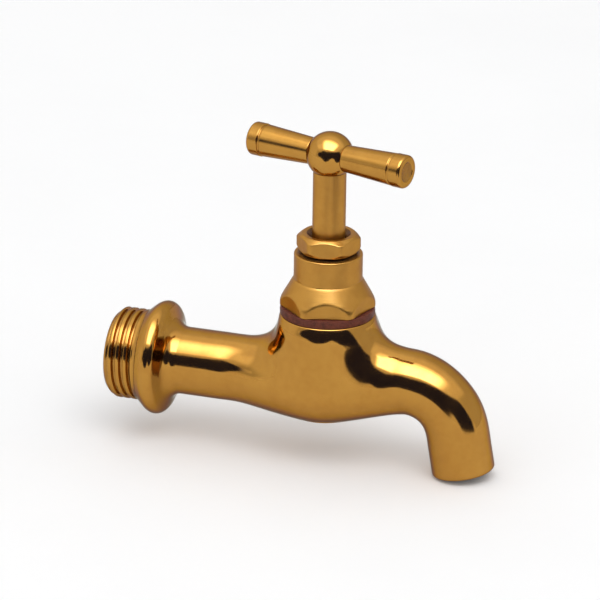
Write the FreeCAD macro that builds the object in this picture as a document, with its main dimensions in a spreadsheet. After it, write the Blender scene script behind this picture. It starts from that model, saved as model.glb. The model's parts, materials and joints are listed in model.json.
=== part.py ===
import FreeCAD, Part
import math
import os
import Sketcher

# A screw-down bib tap in polished brass, with its inlet on the X axis and its valve stem upright.
# The origin is on the inlet axis, in the plane of the collar's shoulder. The spout points along +X.

Vector = FreeCAD.Vector
Rotation = FreeCAD.Rotation
Placement = FreeCAD.Placement

UP = Vector(0, 0, 1)
ALONG = Vector(1, 0, 0)
SIDE = Vector(0, 1, 0)
HEX_CORNER = 1 / math.sqrt(3)
HEX_TURNS = (30, 90, 150, 210, 270, 330)

DRIVING_SIZES = {
    # Inlet tail, a G 1/2 pipe thread
    "inlet_thread_diameter": 20.955,
    "inlet_thread_crest_cut": 0.32,
    "inlet_thread_depth": 1.162,
    "inlet_thread_pitch": 1.814,
    "inlet_thread_length": 7.0,
    "inlet_shank_length": 1.2,
    "inlet_start_chamfer": 1.3,
    "inlet_bore_diameter": 11.8,
    "throat_start": 24.0,
    # Collar and barrel
    "collar_face_diameter": 22.8,
    "collar_edge_distance": 1.5,
    "collar_edge_diameter": 25.3,
    "collar_peak_distance": 3.9,
    "collar_peak_diameter": 27.15,
    "collar_back_distance": 6.3,
    "collar_peak_rounding": 2.0,
    "collar_back_rounding": 3.2,
    "barrel_diameter": 15.4,
    "barrel_straight_end": 20.0,
    "barrel_ring_gap": 2.0,
    # Bowl and valve boss
    "valve_distance": 42.2,
    "bowl_depth": 9.45,
    "bowl_width": 24.0,
    "bowl_top_rise": 1.4,
    "bowl_top_slope": 3.0,
    "bowl_side_start": 0.45,
    "bowl_end_share": 0.45,
    "bowl_end_depth_share": 0.82,
    "bowl_end_width_share": 0.75,
    "bowl_end_drop": 0.6,
    "bowl_end_slope": 8.0,
    "boss_diameter": 21.7,
    "boss_height": 16.2,
    "boss_draft": 1.6,
    "boss_blend": 6.5,
    # Spout
    "spout_diameter": 15.3,
    "spout_rise": 2.15,
    "spout_bend_distance": 58.8,
    "spout_bend_radius": 12.5,
    "spout_start_angle": 10.8,
    "spout_nose_angle": 80.0,
    "nose_length": 9.65,
    "nose_diameter": 14.3,
    "nose_blend_share": 0.35,
    "nose_lip_rounding": 1.0,
    "outlet_diameter": 11.2,
    "outlet_depth": 8.0,
    "spout_passage_diameter": 9.2,
    "passage_start": 1.5,
    "passage_start_slope": -4.0,
    "passage_fall_length": 7.0,
    "passage_fall_drop": 0.3,
    "passage_fall_slope": -8.0,
    "passage_end_share": 0.8,
    # Valve seat and chambers
    "seat_height": 1.0,
    "seat_outer_diameter": 11.6,
    "seat_bore_diameter": 8.4,
    "shelf_height": -0.2,
    "shelf_thickness": 2.0,
    "chamber_diameter": 14.4,
    "lower_chamber_diameter": 10.4,
    "lower_chamber_floor": -7.2,
    "lower_chamber_rounding": 1.8,
    "throat_length": 9.0,
    "throat_end_gap": 2.0,
    "core_overlap": 0.5,
    # Bonnet and its gasket
    "bonnet_thread_diameter": 16.4,
    "bonnet_thread_reach": 8.2,
    "bonnet_relief_depth": 0.8,
    "bonnet_relief_width": 1.4,
    "gasket_thickness": 1.9,
    "gasket_diameter": 21.5,
    "bonnet_hex_flats": 18.7,
    "bonnet_hex_height": 6.8,
    "bonnet_hex_chamfer_drop": 5.9,
    "bonnet_neck_diameter": 15.5,
    "bonnet_neck_height": 5.9,
    "bonnet_counterbore_diameter": 12.0,
    "bonnet_counterbore_depth": 3.0,
    "bonnet_turn": 17.5,
    "stem_land_height": 1.8,
    # Stuffing box
    "stuffing_box_diameter": 10.8,
    "packing_ring_height": 1.2,
    "follower_height": 0.9,
    "gland_gap": 0.7,
    "gland_hex_flats": 13.0,
    "gland_hex_height": 4.1,
    "gland_chamfer_width": 1.6,
    "gland_chamfer_height": 0.95,
    "gland_neck_diameter": 9.4,
    "gland_neck_height": 1.1,
    "gland_turn": 12.0,
    # Spindle
    "stem_diameter": 7.5,
    "spindle_thread_diameter": 10.8,
    "spindle_thread_length": 9.0,
    "spindle_nose_diameter": 9.2,
    "spindle_nose_length": 2.3,
    "tang_diameter": 5.2,
    "tang_height": 5.8,
    # Handle
    "ball_diameter": 10.7,
    "ball_height": 53.9,
    "handle_turn": 13.5,
    "handle_length": 40.4,
    "arm_root_diameter": 6.1,
    "arm_end_diameter": 7.6,
    "arm_band_width": 2.9,
    "arm_groove_width": 0.5,
    "arm_groove_depth": 0.35,
    "arm_rim_rounding": 0.7,
    "arm_groove_step": 0.1,
    "stud_diameter": 3.2,
    "stud_end_length": 5.0,
    # Jumper and washer
    "jumper_diameter": 11.0,
    "jumper_thickness": 1.6,
    "jumper_stem_diameter": 3.0,
    "jumper_stem_length": 9.0,
    "jumper_stud_diameter": 2.8,
    "jumper_tip_chamfer": 0.5,
    "seat_washer_diameter": 10.6,
    "seat_washer_thickness": 2.95,
    "washer_plate_diameter": 5.8,
    "washer_plate_thickness": 0.4,
    "washer_nut_flats": 5.0,
    "washer_nut_height": 2.0,
    # Clearances
    "fit_clearance": 0.05,
    "running_clearance": 0.1,
    "contact_gap": 0.05,
    "blind_hole_space": 0.5,
    "screw_overhang": 0.4,
}

# How the bowl swells on its way from the barrel to the valve: the share of the way,
# then how far its bottom and its sides have come to their full size there.
BOWL_SWELL = ((0.25, 0.2, 0.1), (0.47, 0.53, 0.48), (0.74, 0.87, 0.87), (1.0, 1.0, 1.0))
SPOUT_STEPS = 5
CUT_MARGIN = 1.0


class Size:
    """A length or angle that keeps its value beside the expression that gives it."""

    def __init__(self, text, value):
        self.text = text
        self.value = value

    def joined(self, sign, other, value):
        return Size("(%s %s %s)" % (self.text, sign, text_of(other)), value)

    def __add__(self, other):
        return self.joined("+", other, self.value + value_of(other))

    def __sub__(self, other):
        return self.joined("-", other, self.value - value_of(other))

    def __mul__(self, other):
        return self.joined("*", other, self.value * value_of(other))

    def __truediv__(self, other):
        return self.joined("/", other, self.value / value_of(other))

    def __neg__(self):
        return Size("(-%s)" % self.text, -self.value)


def value_of(size):
    return size.value if isinstance(size, Size) else float(size)


def text_of(size):
    return size.text if isinstance(size, Size) else "%.9g" % size


class SizeSheet:
    """The spreadsheet of driving sizes; each alias is read as an attribute."""

    def __init__(self, document, sizes):
        self.sheet = document.addObject("Spreadsheet::Sheet", "Sizes")
        for row, (alias, value) in enumerate(sizes.items(), start=1):
            self.sheet.set("A%d" % row, alias)
            self.sheet.set("B%d" % row, repr(value))
            self.sheet.setAlias("B%d" % row, alias)
            setattr(self, alias, Size("Sizes." + alias, value))


document = FreeCAD.newDocument("bib_tap")
sizes = SizeSheet(document, DRIVING_SIZES)
document.recompute()


# Heights along the valve stem, from the seat to the ball
gasket_top = sizes.boss_height + sizes.gasket_thickness
hex_top = gasket_top + sizes.bonnet_hex_height
neck_top = hex_top + sizes.bonnet_neck_height
bonnet_bottom = sizes.boss_height - sizes.bonnet_thread_reach
counterbore_top = bonnet_bottom + sizes.bonnet_counterbore_depth
stuffing_floor = hex_top
land_bottom = stuffing_floor - sizes.stem_land_height
packing_middle = stuffing_floor + sizes.packing_ring_height
packing_top = packing_middle + sizes.packing_ring_height
follower_top = packing_top + sizes.follower_height
gland_head_bottom = neck_top + sizes.gland_gap
gland_top = gland_head_bottom + sizes.gland_hex_height
washer_bottom = sizes.seat_height + sizes.contact_gap
washer_top = washer_bottom + sizes.seat_washer_thickness
jumper_top = washer_top + sizes.jumper_thickness
plate_bottom = washer_bottom - sizes.washer_plate_thickness
nut_bottom = plate_bottom - sizes.washer_nut_height
spindle_bottom = jumper_top + sizes.contact_gap
thread_bottom = spindle_bottom + sizes.spindle_nose_length
thread_top = thread_bottom + sizes.spindle_thread_length

# Radii that fit one in the other
stem_radius = sizes.stem_diameter / 2
stem_hole_radius = stem_radius + sizes.running_clearance
stuffing_radius = sizes.stuffing_box_diameter / 2
bonnet_thread_radius = sizes.bonnet_thread_diameter / 2
spindle_thread_radius = sizes.spindle_thread_diameter / 2
ball_radius = sizes.ball_diameter / 2
arm_root_radius = sizes.arm_root_diameter / 2
stud_radius = sizes.stud_diameter / 2
stud_hole_radius = stud_radius + sizes.fit_clearance

# Places along the handle bar, from the centre of its ball
ball_flat = Size(
    "sqrt(pow(%s; 2) - pow(%s; 2))" % (ball_radius.text, arm_root_radius.text),
    math.sqrt(ball_radius.value ** 2 - arm_root_radius.value ** 2),
)
ball_seat_drop = Size(
    "sqrt(pow(%s; 2) - pow(%s; 2))" % (ball_radius.text, stem_radius.text),
    math.sqrt(ball_radius.value ** 2 - stem_radius.value ** 2),
)
stem_top = sizes.ball_height - ball_seat_drop
arm_end = sizes.handle_length / 2


def bind(target, name, size):
    """Set a property, or tie it to the sheet where the size comes from there."""
    if isinstance(size, Size):
        target.setExpression(name, size.text)
    else:
        setattr(target, name, size)


def new_body(label, x=0.0, z=0.0, turn=0.0, axis=UP):
    """An empty body standing at (x, 0, z), turned about an axis."""
    body = document.addObject("PartDesign::Body", label)
    body.Placement = Placement(Vector(value_of(x), 0, value_of(z)), Rotation(axis, value_of(turn)))
    for name, size in (("Placement.Base.x", x), ("Placement.Base.z", z)):
        if isinstance(size, Size):
            body.setExpression(name, size.text)
    return body


def origin_plane(body, role):
    return [item for item in body.Origin.OriginFeatures if item.Role == role][0]


def new_sketch(body, name, role, height=0.0):
    """A sketch on one of the body's own planes, raised off it by a height."""
    sketch = body.newObject("Sketcher::SketchObject", name)
    sketch.AttachmentSupport = [(origin_plane(body, role), "")]
    sketch.MapMode = "FlatFace"
    sketch.AttachmentOffset = Placement(Vector(0, 0, value_of(height)), Rotation())
    if isinstance(height, Size):
        sketch.setExpression("AttachmentOffset.Base.z", height.text)
    return sketch


def pin_corner(sketch, line, axis, size):
    """Hold the start of a line at a signed distance from the sketch's origin."""
    kind, own_axis = (("DistanceX", -2), ("DistanceY", -1))[axis]
    if abs(value_of(size)) < 1e-9:
        sketch.addConstraint(Sketcher.Constraint("PointOnObject", line, 1, own_axis))
        return
    held = Sketcher.Constraint(kind, -1, 1, line, 1, value_of(size))
    index = sketch.addConstraint(held)
    if isinstance(size, Size):
        sketch.setExpression("Constraints[%d]" % index, size.text)


def outline(body, name, corners, role="XZ_Plane", height=0.0):
    """A closed outline of straight lines through corners, each a pair of sizes."""
    sketch = new_sketch(body, name, role, height)
    points = [Vector(value_of(across), value_of(along), 0) for across, along in corners]
    count = len(points)
    for i in range(count):
        sketch.addGeometry(Part.LineSegment(points[i], points[(i + 1) % count]), False)
    for i in range(count):
        sketch.addConstraint(Sketcher.Constraint("Coincident", i, 2, (i + 1) % count, 1))
    for i, corner in enumerate(corners):
        for axis in (0, 1):
            pin_corner(sketch, i, axis, corner[axis])
    return sketch


def round_outline(body, name, radius, role="XY_Plane", height=0.0):
    """A circle about the sketch's origin."""
    sketch = new_sketch(body, name, role, height)
    sketch.addGeometry(Part.Circle(Vector(0, 0, 0), UP, value_of(radius)), False)
    sketch.addConstraint(Sketcher.Constraint("Coincident", 0, 3, -1, 1))
    index = sketch.addConstraint(Sketcher.Constraint("Radius", 0, value_of(radius)))
    if isinstance(radius, Size):
        sketch.setExpression("Constraints[%d]" % index, radius.text)
    return sketch


def feature(body, kind, name, profile):
    made = body.newObject("PartDesign::" + kind, name)
    made.Profile = profile
    profile.Visibility = False
    return made


def turned(body, name, corners, axis="V_Axis"):
    """Material turned about an axis of the outline's sketch."""
    sketch = outline(body, name + "_outline", corners)
    made = feature(body, "Revolution", name, sketch)
    made.ReferenceAxis = (sketch, [axis])
    made.Angle = 360
    return made


def turned_cut(body, name, corners, axis="V_Axis"):
    """A cut turned about an axis of the outline's sketch."""
    sketch = outline(body, name + "_outline", corners)
    made = feature(body, "Groove", name, sketch)
    made.ReferenceAxis = (sketch, [axis])
    made.Angle = 360
    return made


def hex_corners(flats):
    """The six corners of a hexagon with two flats square to the sketch's Y axis."""
    corner = flats * HEX_CORNER
    return [
        (corner * math.cos(math.radians(turn - 30)), corner * math.sin(math.radians(turn - 30)))
        for turn in HEX_TURNS
    ]


def hex_pad(body, name, flats, bottom, height):
    """A hexagonal prism standing on the level called bottom."""
    sketch = outline(body, name + "_outline", hex_corners(flats), "XY_Plane", bottom)
    made = feature(body, "Pad", name, sketch)
    bind(made, "Length", height)
    return made


def rounded_edges(body, name, radius, chosen):
    """Round the edges of the body's last feature that the test picks."""
    document.recompute()
    base = body.Tip
    names = ["Edge%d" % (i + 1) for i, edge in enumerate(base.Shape.Edges) if chosen(edge)]
    made = body.newObject("PartDesign::Fillet", name)
    made.Base = (base, names)
    bind(made, "Radius", radius)
    return made


def circle_at(distance, radius, along):
    """A test for the circular edge of one radius at one place along an axis."""

    def chosen(edge):
        curve = edge.Curve
        if not isinstance(curve, Part.Circle):
            return False
        place = curve.Center.dot(along)
        return abs(curve.Radius - value_of(radius)) < 1e-4 and abs(place - value_of(distance)) < 1e-4

    return chosen


def ring_body(label, inner, outer, bottom, top):
    """A plain ring about the valve stem."""
    body = new_body(label, sizes.valve_distance)
    turned(body, label + "_ring", [(inner, bottom), (outer, bottom), (outer, top), (inner, top)])
    return body


# Casting: collar and barrel, bowl, boss and spout

def collar_and_barrel():
    """The plain shank, the collar and the start of the barrel, turned about the inlet axis."""
    body = new_body("collar_and_barrel")
    barrel_radius = sizes.barrel_diameter / 2
    shank_radius = sizes.inlet_thread_diameter / 2
    peak_radius = sizes.collar_peak_diameter / 2
    corners = [
        (-sizes.inlet_shank_length, 0.0),
        (-sizes.inlet_shank_length, shank_radius),
        (0.0, shank_radius),
        (0.0, sizes.collar_face_diameter / 2),
        (sizes.collar_edge_distance, sizes.collar_edge_diameter / 2),
        (sizes.collar_peak_distance, peak_radius),
        (sizes.collar_back_distance, barrel_radius),
        (sizes.barrel_straight_end, barrel_radius),
        (sizes.barrel_straight_end, 0.0),
    ]
    turned(body, "turned_collar", corners, "H_Axis")
    peak = circle_at(sizes.collar_peak_distance, peak_radius, ALONG)
    rounded_edges(body, "peak_rounding", sizes.collar_peak_rounding, peak)
    back = circle_at(sizes.collar_back_distance, barrel_radius, ALONG)
    rounded_edges(body, "back_rounding", sizes.collar_back_rounding, back)
    return body


def helix_section(crest, root):
    """The closed cam across a threaded rod: crest arc, flank, root arc and flank in one turn.

    Cut square to its axis, a single-start thread shows its profile once round the rod.
    Crest and root take a sixth of the turn each, and each flank a third.
    """
    sixth = math.radians(60)

    def polar(radius, turn):
        return Vector(radius * math.cos(turn), radius * math.sin(turn), 0)

    def arc(radius, start):
        middle = start + sixth / 2
        return Part.Arc(polar(radius, start), polar(radius, middle), polar(radius, start + sixth))

    def flank(first, last, start, steps=8):
        curve = Part.BSplineCurve()
        shares = [step / steps for step in range(steps + 1)]
        curve.interpolate(
            [polar(first + (last - first) * share, start + 2 * sixth * share) for share in shares]
        )
        return curve

    parts = [arc(crest, 0), flank(crest, root, sixth), arc(root, 3 * sixth), flank(root, crest, 4 * sixth)]
    return Part.Wire([part.toShape() for part in parts])


def inlet_thread():
    """The male pipe thread: its cam section is carried along the axis while it turns once a pitch."""
    crest = (sizes.inlet_thread_diameter.value - sizes.inlet_thread_crest_cut.value) / 2
    root = sizes.inlet_thread_diameter.value / 2 - sizes.inlet_thread_depth.value
    length = sizes.inlet_thread_length.value
    chamfer = sizes.inlet_start_chamfer.value
    guide = Part.Wire(Part.makeHelix(sizes.inlet_thread_pitch.value, length, crest * 1.5).Edges)
    sweep = Part.BRepOffsetAPI.MakePipeShell(Part.Wire([Part.makeLine(Vector(), UP * length)]))
    sweep.setAuxiliarySpine(guide, True, 0)
    sweep.add(helix_section(crest, root))
    sweep.build()
    sweep.makeSolid()
    cone = Part.makeCone(crest - chamfer, crest - chamfer + length * 2, length * 2)
    thread = sweep.shape().common(cone)
    made = document.addObject("Part::Feature", "inlet_thread")
    made.Shape = thread
    start = -(sizes.inlet_thread_length + sizes.inlet_shank_length).value
    made.Placement = Placement(ALONG * start, Rotation(UP, ALONG))
    return made


def across_path(distance, height, slope):
    """The placement whose XY plane stands across a path in the XZ plane, its X axis sideways."""
    angle = math.radians(slope)
    forward = Vector(math.cos(angle), 0, math.sin(angle))
    upward = Vector(-math.sin(angle), 0, math.cos(angle))
    return Placement(Vector(distance, 0, height), Rotation(SIDE, upward, forward, "XYZ"))


def section(name, distance, height, slope, half_width, half_height=None):
    """A ring across the path: a circle, or an oval that is wider than it is high."""
    if half_height is None:
        ring = document.addObject("Part::Circle", name)
        ring.Radius = half_width
    else:
        ring = document.addObject("Part::Ellipse", name)
        ring.MajorRadius = half_width
        ring.MinorRadius = half_height
    ring.Placement = across_path(distance, height, slope)
    return ring


def lofted(name, rings):
    skin = document.addObject("Part::Loft", name)
    skin.Sections = rings
    skin.Solid = True
    skin.Ruled = False
    return skin


def bend_point(share):
    """A point of the spout's bend, its slope there, and the share of the turn it lies at."""
    first = sizes.spout_start_angle.value
    last = -sizes.spout_nose_angle.value
    radius = sizes.spout_bend_radius.value
    slope = first + (last - first) * share
    start, now = math.radians(first), math.radians(slope)
    distance = sizes.spout_bend_distance.value + radius * (math.sin(start) - math.sin(now))
    height = sizes.spout_rise.value + radius * (math.cos(now) - math.cos(start))
    return distance, height, slope


def nose_point(share):
    """A point of the straight nose, from the end of the bend to the lip."""
    distance, height, slope = bend_point(1.0)
    angle = math.radians(slope)
    reach = sizes.nose_length.value * share
    return distance + reach * math.cos(angle), height + reach * math.sin(angle), slope


def bowl_rings():
    """Oval rings from the end of the straight barrel to the root of the spout."""
    barrel = sizes.barrel_diameter.value / 2
    start = sizes.barrel_straight_end.value
    valve = sizes.valve_distance.value
    deep = sizes.bowl_depth.value
    wide = sizes.bowl_width.value / 2
    side = barrel + sizes.bowl_side_start.value
    rings = []
    for step, (share, sink, spread) in enumerate(BOWL_SWELL):
        bottom = -barrel - (deep - barrel) * sink
        top = barrel + sizes.bowl_top_rise.value * share ** 2
        slope = sizes.bowl_top_slope.value * share
        rings.append(section("bowl_ring_%d" % step, start + (valve - start) * share,
                             (top + bottom) / 2, slope, side + (wide - side) * spread, (top - bottom) / 2))
    spout = sizes.spout_diameter.value / 2
    way = (sizes.spout_bend_distance.value - valve) * sizes.bowl_end_share.value
    bottom = -deep * sizes.bowl_end_depth_share.value
    top = sizes.spout_rise.value + spout - sizes.bowl_end_drop.value
    half_width = spout + (wide - spout) * sizes.bowl_end_width_share.value
    rings.append(section("bowl_end_ring", valve + way, (top + bottom) / 2, sizes.bowl_end_slope.value,
                         half_width, (top - bottom) / 2))
    return rings


def casting_skin():
    """The smooth outside of barrel, bowl and spout, lofted through rings along the waterway."""
    start = sizes.barrel_straight_end.value
    barrel = sizes.barrel_diameter.value / 2
    spout = sizes.spout_diameter.value / 2
    nose = sizes.nose_diameter.value / 2
    rings = [
        section("barrel_ring_0", start, 0, 0, barrel),
        section("barrel_ring_1", start + sizes.barrel_ring_gap.value, 0, 0, barrel),
    ]
    rings += bowl_rings()
    for step in range(SPOUT_STEPS + 1):
        radius = spout + (nose - spout) * min(1, step / 3)
        rings.append(section("spout_ring_%d" % step, *bend_point(step / SPOUT_STEPS), radius))
    rings.append(section("nose_ring", *nose_point(sizes.nose_blend_share.value), nose))
    return lofted("casting_skin", rings)


def straight_nose():
    """The plain round end of the spout, which a hose can be pushed over."""
    nose = document.addObject("Part::Cylinder", "straight_nose")
    bind(nose, "Radius", sizes.nose_diameter / 2)
    bind(nose, "Height", sizes.nose_length - sizes.nose_length * sizes.nose_blend_share)
    nose.Placement = across_path(*nose_point(sizes.nose_blend_share.value))
    return nose


def upright_cylinder(name, radius, bottom, top):
    """A cylinder about the valve stem between two levels."""
    made = document.addObject("Part::Cylinder", name)
    bind(made, "Radius", radius)
    bind(made, "Height", top - bottom)
    made.Placement = Placement(Vector(sizes.valve_distance.value, 0, value_of(bottom)), Rotation())
    made.setExpression("Placement.Base.x", sizes.valve_distance.text)
    return made


def joined(name, kind, members):
    made = document.addObject(kind, name)
    made.Shapes = members
    return made


def cut(name, base, tool):
    made = document.addObject("Part::Cut", name)
    made.Base = base
    made.Tool = tool
    return made


def casting_outside():
    """Collar, barrel, bowl and spout with the valve boss blended in and the lip rounded."""
    boss = document.addObject("Part::Cone", "valve_boss")
    bind(boss, "Radius1", (sizes.boss_diameter + sizes.boss_draft) / 2)
    bind(boss, "Radius2", sizes.boss_diameter / 2)
    bind(boss, "Height", sizes.boss_height)
    boss.Placement = Placement(ALONG * sizes.valve_distance.value, Rotation())
    boss.setExpression("Placement.Base.x", sizes.valve_distance.text)
    skin = casting_skin()
    raw = joined("raw_casting", "Part::MultiFuse", [skin, boss, straight_nose()])
    document.recompute()
    nose = across_path(*nose_point(1.0))
    blends = []
    for index, edge in enumerate(raw.Shape.Edges, start=1):
        box = edge.BoundBox
        beside_boss = abs(box.Center.x - boss.Placement.Base.x) < boss.Radius1.Value
        if beside_boss and 0 < box.ZMin and box.ZMax < boss.Height.Value * 0.9:
            blends.append((index, sizes.boss_blend.value, sizes.boss_blend.value))
        elif all(abs(nose.inverse().multVec(v.Point).z) < 1e-3 for v in edge.Vertexes):
            blends.append((index, sizes.nose_lip_rounding.value, sizes.nose_lip_rounding.value))
    smooth = document.addObject("Part::Fillet", "blended_casting")
    smooth.Base = raw
    smooth.Edges = blends
    return joined("solid_casting", "Part::MultiFuse", [smooth, collar_and_barrel(), inlet_thread()])


def throat(shelf_bottom):
    """The cast way that narrows from the inlet bore into the lower chamber."""
    start = sizes.throat_start.value
    bore = sizes.inlet_bore_diameter.value / 2
    wide = sizes.lower_chamber_diameter.value / 2
    overlap = sizes.core_overlap.value
    half = (shelf_bottom.value - sizes.lower_chamber_floor.value) / 2 - overlap / 2
    middle = (shelf_bottom.value + sizes.lower_chamber_floor.value) / 2
    end = sizes.valve_distance.value - sizes.throat_end_gap.value
    return lofted("throat", [
        section("throat_ring_1", start - 3 * overlap, 0, 0, bore - overlap),
        section("throat_ring_2", start + overlap, 0, 0, bore - overlap),
        section("throat_ring_3", start + sizes.throat_length.value, middle, 0, wide, half),
        section("throat_ring_4", end, middle, 0, wide - overlap, half),
    ])


def lower_chamber(shelf_bottom):
    """The round chamber under the seat, with a rounded floor."""
    chamber = upright_cylinder("lower_chamber", sizes.lower_chamber_diameter / 2,
                               sizes.lower_chamber_floor, shelf_bottom)
    document.recompute()
    smooth = document.addObject("Part::Fillet", "lower_chamber_rounded")
    smooth.Base = chamber
    rounding = sizes.lower_chamber_rounding.value
    smooth.Edges = [
        (index, rounding, rounding)
        for index, edge in enumerate(chamber.Shape.Edges, start=1)
        if abs(edge.BoundBox.ZMax - sizes.lower_chamber_floor.value) < 1e-4
    ]
    return smooth


def spout_passage():
    """The way from the upper chamber through the spout."""
    radius = sizes.spout_passage_diameter.value / 2
    first = sizes.valve_distance.value + sizes.passage_start.value
    rings = [
        section("passage_ring_0", first, radius + sizes.core_overlap.value,
                sizes.passage_start_slope.value, radius),
        section("passage_ring_1", first + sizes.passage_fall_length.value,
                radius - sizes.passage_fall_drop.value, sizes.passage_fall_slope.value, radius),
    ]
    for step in range(SPOUT_STEPS + 1):
        rings.append(section("passage_ring_%d" % (step + 2), *bend_point(step / SPOUT_STEPS), radius))
    rings.append(section("passage_end_ring", *nose_point(sizes.passage_end_share.value), radius))
    return lofted("spout_passage", rings)


def waterway():
    """The hollow inside: inlet bore, throat, lower chamber, seat bore, upper chamber and outlet."""
    overlap = sizes.core_overlap
    tail = sizes.inlet_thread_length + sizes.inlet_shank_length
    inlet = document.addObject("Part::Cylinder", "inlet_bore")
    bind(inlet, "Radius", sizes.inlet_bore_diameter / 2)
    bind(inlet, "Height", tail + sizes.throat_start)
    inlet.Placement = Placement(ALONG * -tail.value, Rotation(UP, ALONG))
    inlet.setExpression("Placement.Base.x", (-tail).text)

    shelf_bottom = sizes.shelf_height - sizes.shelf_thickness
    seat_bore = upright_cylinder("seat_bore", sizes.seat_bore_diameter / 2,
                                 shelf_bottom - overlap, sizes.seat_height + overlap)
    upper = upright_cylinder("upper_chamber", sizes.chamber_diameter / 2,
                             sizes.shelf_height, sizes.boss_height)
    threaded = upright_cylinder("bonnet_hole", bonnet_thread_radius + sizes.fit_clearance,
                                bonnet_bottom - overlap, sizes.boss_height + overlap)
    seat_wall = upright_cylinder("seat_wall", sizes.seat_outer_diameter / 2,
                                 sizes.shelf_height - overlap, sizes.seat_height)
    chamber = cut("chamber_round_seat", upper, seat_wall)

    outlet = document.addObject("Part::Cylinder", "outlet_bore")
    bind(outlet, "Radius", sizes.outlet_diameter / 2)
    bind(outlet, "Height", sizes.outlet_depth + overlap)
    mouth = across_path(*nose_point(1.0))
    outlet.Placement = mouth.multiply(Placement(UP * -sizes.outlet_depth.value, Rotation()))
    return joined("waterway", "Part::MultiFuse", [
        inlet, throat(shelf_bottom), lower_chamber(shelf_bottom), seat_bore, chamber, threaded,
        spout_passage(), outlet,
    ])


def tap_body():
    casting = casting_outside()
    hollow = waterway()
    return cut("tap_body", casting, hollow)


# Bonnet, gasket and stuffing box

def bonnet_gasket():
    inner = bonnet_thread_radius + sizes.running_clearance
    return ring_body("bonnet_gasket", inner, sizes.gasket_diameter / 2, sizes.boss_height, gasket_top)


def bonnet():
    """The headwork: threaded end, hexagon with a coned top, neck, and the bores for the stem."""
    body = new_body("bonnet", sizes.valve_distance, turn=sizes.bonnet_turn)
    neck = sizes.bonnet_neck_diameter / 2
    relief = bonnet_thread_radius - sizes.bonnet_relief_depth
    relief_start = gasket_top - sizes.gasket_thickness - sizes.bonnet_relief_width
    turned(body, "turned_bonnet", [
        (0.0, bonnet_bottom),
        (bonnet_thread_radius, bonnet_bottom),
        (bonnet_thread_radius, relief_start),
        (relief, relief_start),
        (relief, gasket_top),
        (neck, gasket_top),
        (neck, neck_top),
        (0.0, neck_top),
    ])
    hex_pad(body, "bonnet_hexagon", sizes.bonnet_hex_flats, gasket_top, sizes.bonnet_hex_height)
    corner = sizes.bonnet_hex_flats * HEX_CORNER
    turned_cut(body, "hexagon_cone", [
        (neck, hex_top),
        (corner, hex_top - sizes.bonnet_hex_chamfer_drop),
        (corner + CUT_MARGIN, hex_top - sizes.bonnet_hex_chamfer_drop),
        (corner + CUT_MARGIN, hex_top),
    ])
    turned_cut(body, "stem_bores", [
        (0.0, bonnet_bottom),
        (sizes.bonnet_counterbore_diameter / 2, bonnet_bottom),
        (sizes.bonnet_counterbore_diameter / 2, counterbore_top),
        (spindle_thread_radius + sizes.running_clearance, counterbore_top),
        (spindle_thread_radius + sizes.running_clearance, land_bottom),
        (stem_hole_radius, land_bottom),
        (stem_hole_radius, stuffing_floor),
        (stuffing_radius, stuffing_floor),
        (stuffing_radius, neck_top),
        (0.0, neck_top),
    ])
    return body


def packing_ring(label, bottom, top):
    inner = stem_radius + sizes.fit_clearance
    return ring_body(label, inner, stuffing_radius - sizes.fit_clearance, bottom, top)


def gland_follower():
    outer = stuffing_radius - sizes.fit_clearance
    return ring_body("gland_follower", stem_hole_radius, outer, packing_top, follower_top)


def gland_nut():
    """The hollow hexagon screw that presses the packing down round the stem."""
    body = new_body("gland_nut", sizes.valve_distance, turn=sizes.gland_turn)
    screw = stuffing_radius - sizes.fit_clearance
    neck = sizes.gland_neck_diameter / 2
    neck_bottom = gland_head_bottom - sizes.gland_neck_height
    turned(body, "turned_screw", [
        (0.0, follower_top),
        (screw, follower_top),
        (screw, neck_bottom),
        (neck, neck_bottom),
        (neck, gland_top),
        (0.0, gland_top),
    ])
    hex_pad(body, "gland_hexagon", sizes.gland_hex_flats, gland_head_bottom, sizes.gland_hex_height)
    corner = sizes.gland_hex_flats * HEX_CORNER
    turned_cut(body, "top_chamfer", [
        (corner - sizes.gland_chamfer_width, gland_top),
        (corner, gland_top - sizes.gland_chamfer_height),
        (corner + CUT_MARGIN, gland_top - sizes.gland_chamfer_height),
        (corner + CUT_MARGIN, gland_top),
    ])
    turned_cut(body, "stem_hole", [
        (0.0, follower_top),
        (stem_hole_radius, follower_top),
        (stem_hole_radius, gland_top),
        (0.0, gland_top),
    ])
    return body


# Spindle and T handle

def spindle():
    """The stem: threaded foot with the jumper's socket, plain stem, and the tang inside the ball."""
    body = new_body("spindle", sizes.valve_distance, turn=-sizes.handle_turn)
    nose = sizes.spindle_nose_diameter / 2
    tang = sizes.tang_diameter / 2
    tang_top = stem_top + sizes.tang_height
    socket = sizes.jumper_stem_diameter / 2 + sizes.running_clearance
    socket_top = jumper_top + sizes.jumper_stem_length + sizes.blind_hole_space
    turned(body, "turned_spindle", [
        (0.0, socket_top),
        (socket, socket_top),
        (socket, spindle_bottom),
        (nose, spindle_bottom),
        (nose, thread_bottom),
        (spindle_thread_radius, thread_bottom),
        (spindle_thread_radius, thread_top),
        (stem_radius, thread_top),
        (stem_radius, stem_top),
        (tang, stem_top),
        (tang, tang_top),
        (0.0, tang_top),
    ])
    hole = round_outline(body, "cross_hole_outline", stud_hole_radius, "YZ_Plane")
    hole.AttachmentOffset = Placement(Vector(0, sizes.ball_height.value, 0), Rotation())
    hole.setExpression("AttachmentOffset.Base.y", sizes.ball_height.text)
    drilled = feature(body, "Pocket", "cross_hole", hole)
    drilled.Type = 1
    drilled.Midplane = True
    return body


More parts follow.
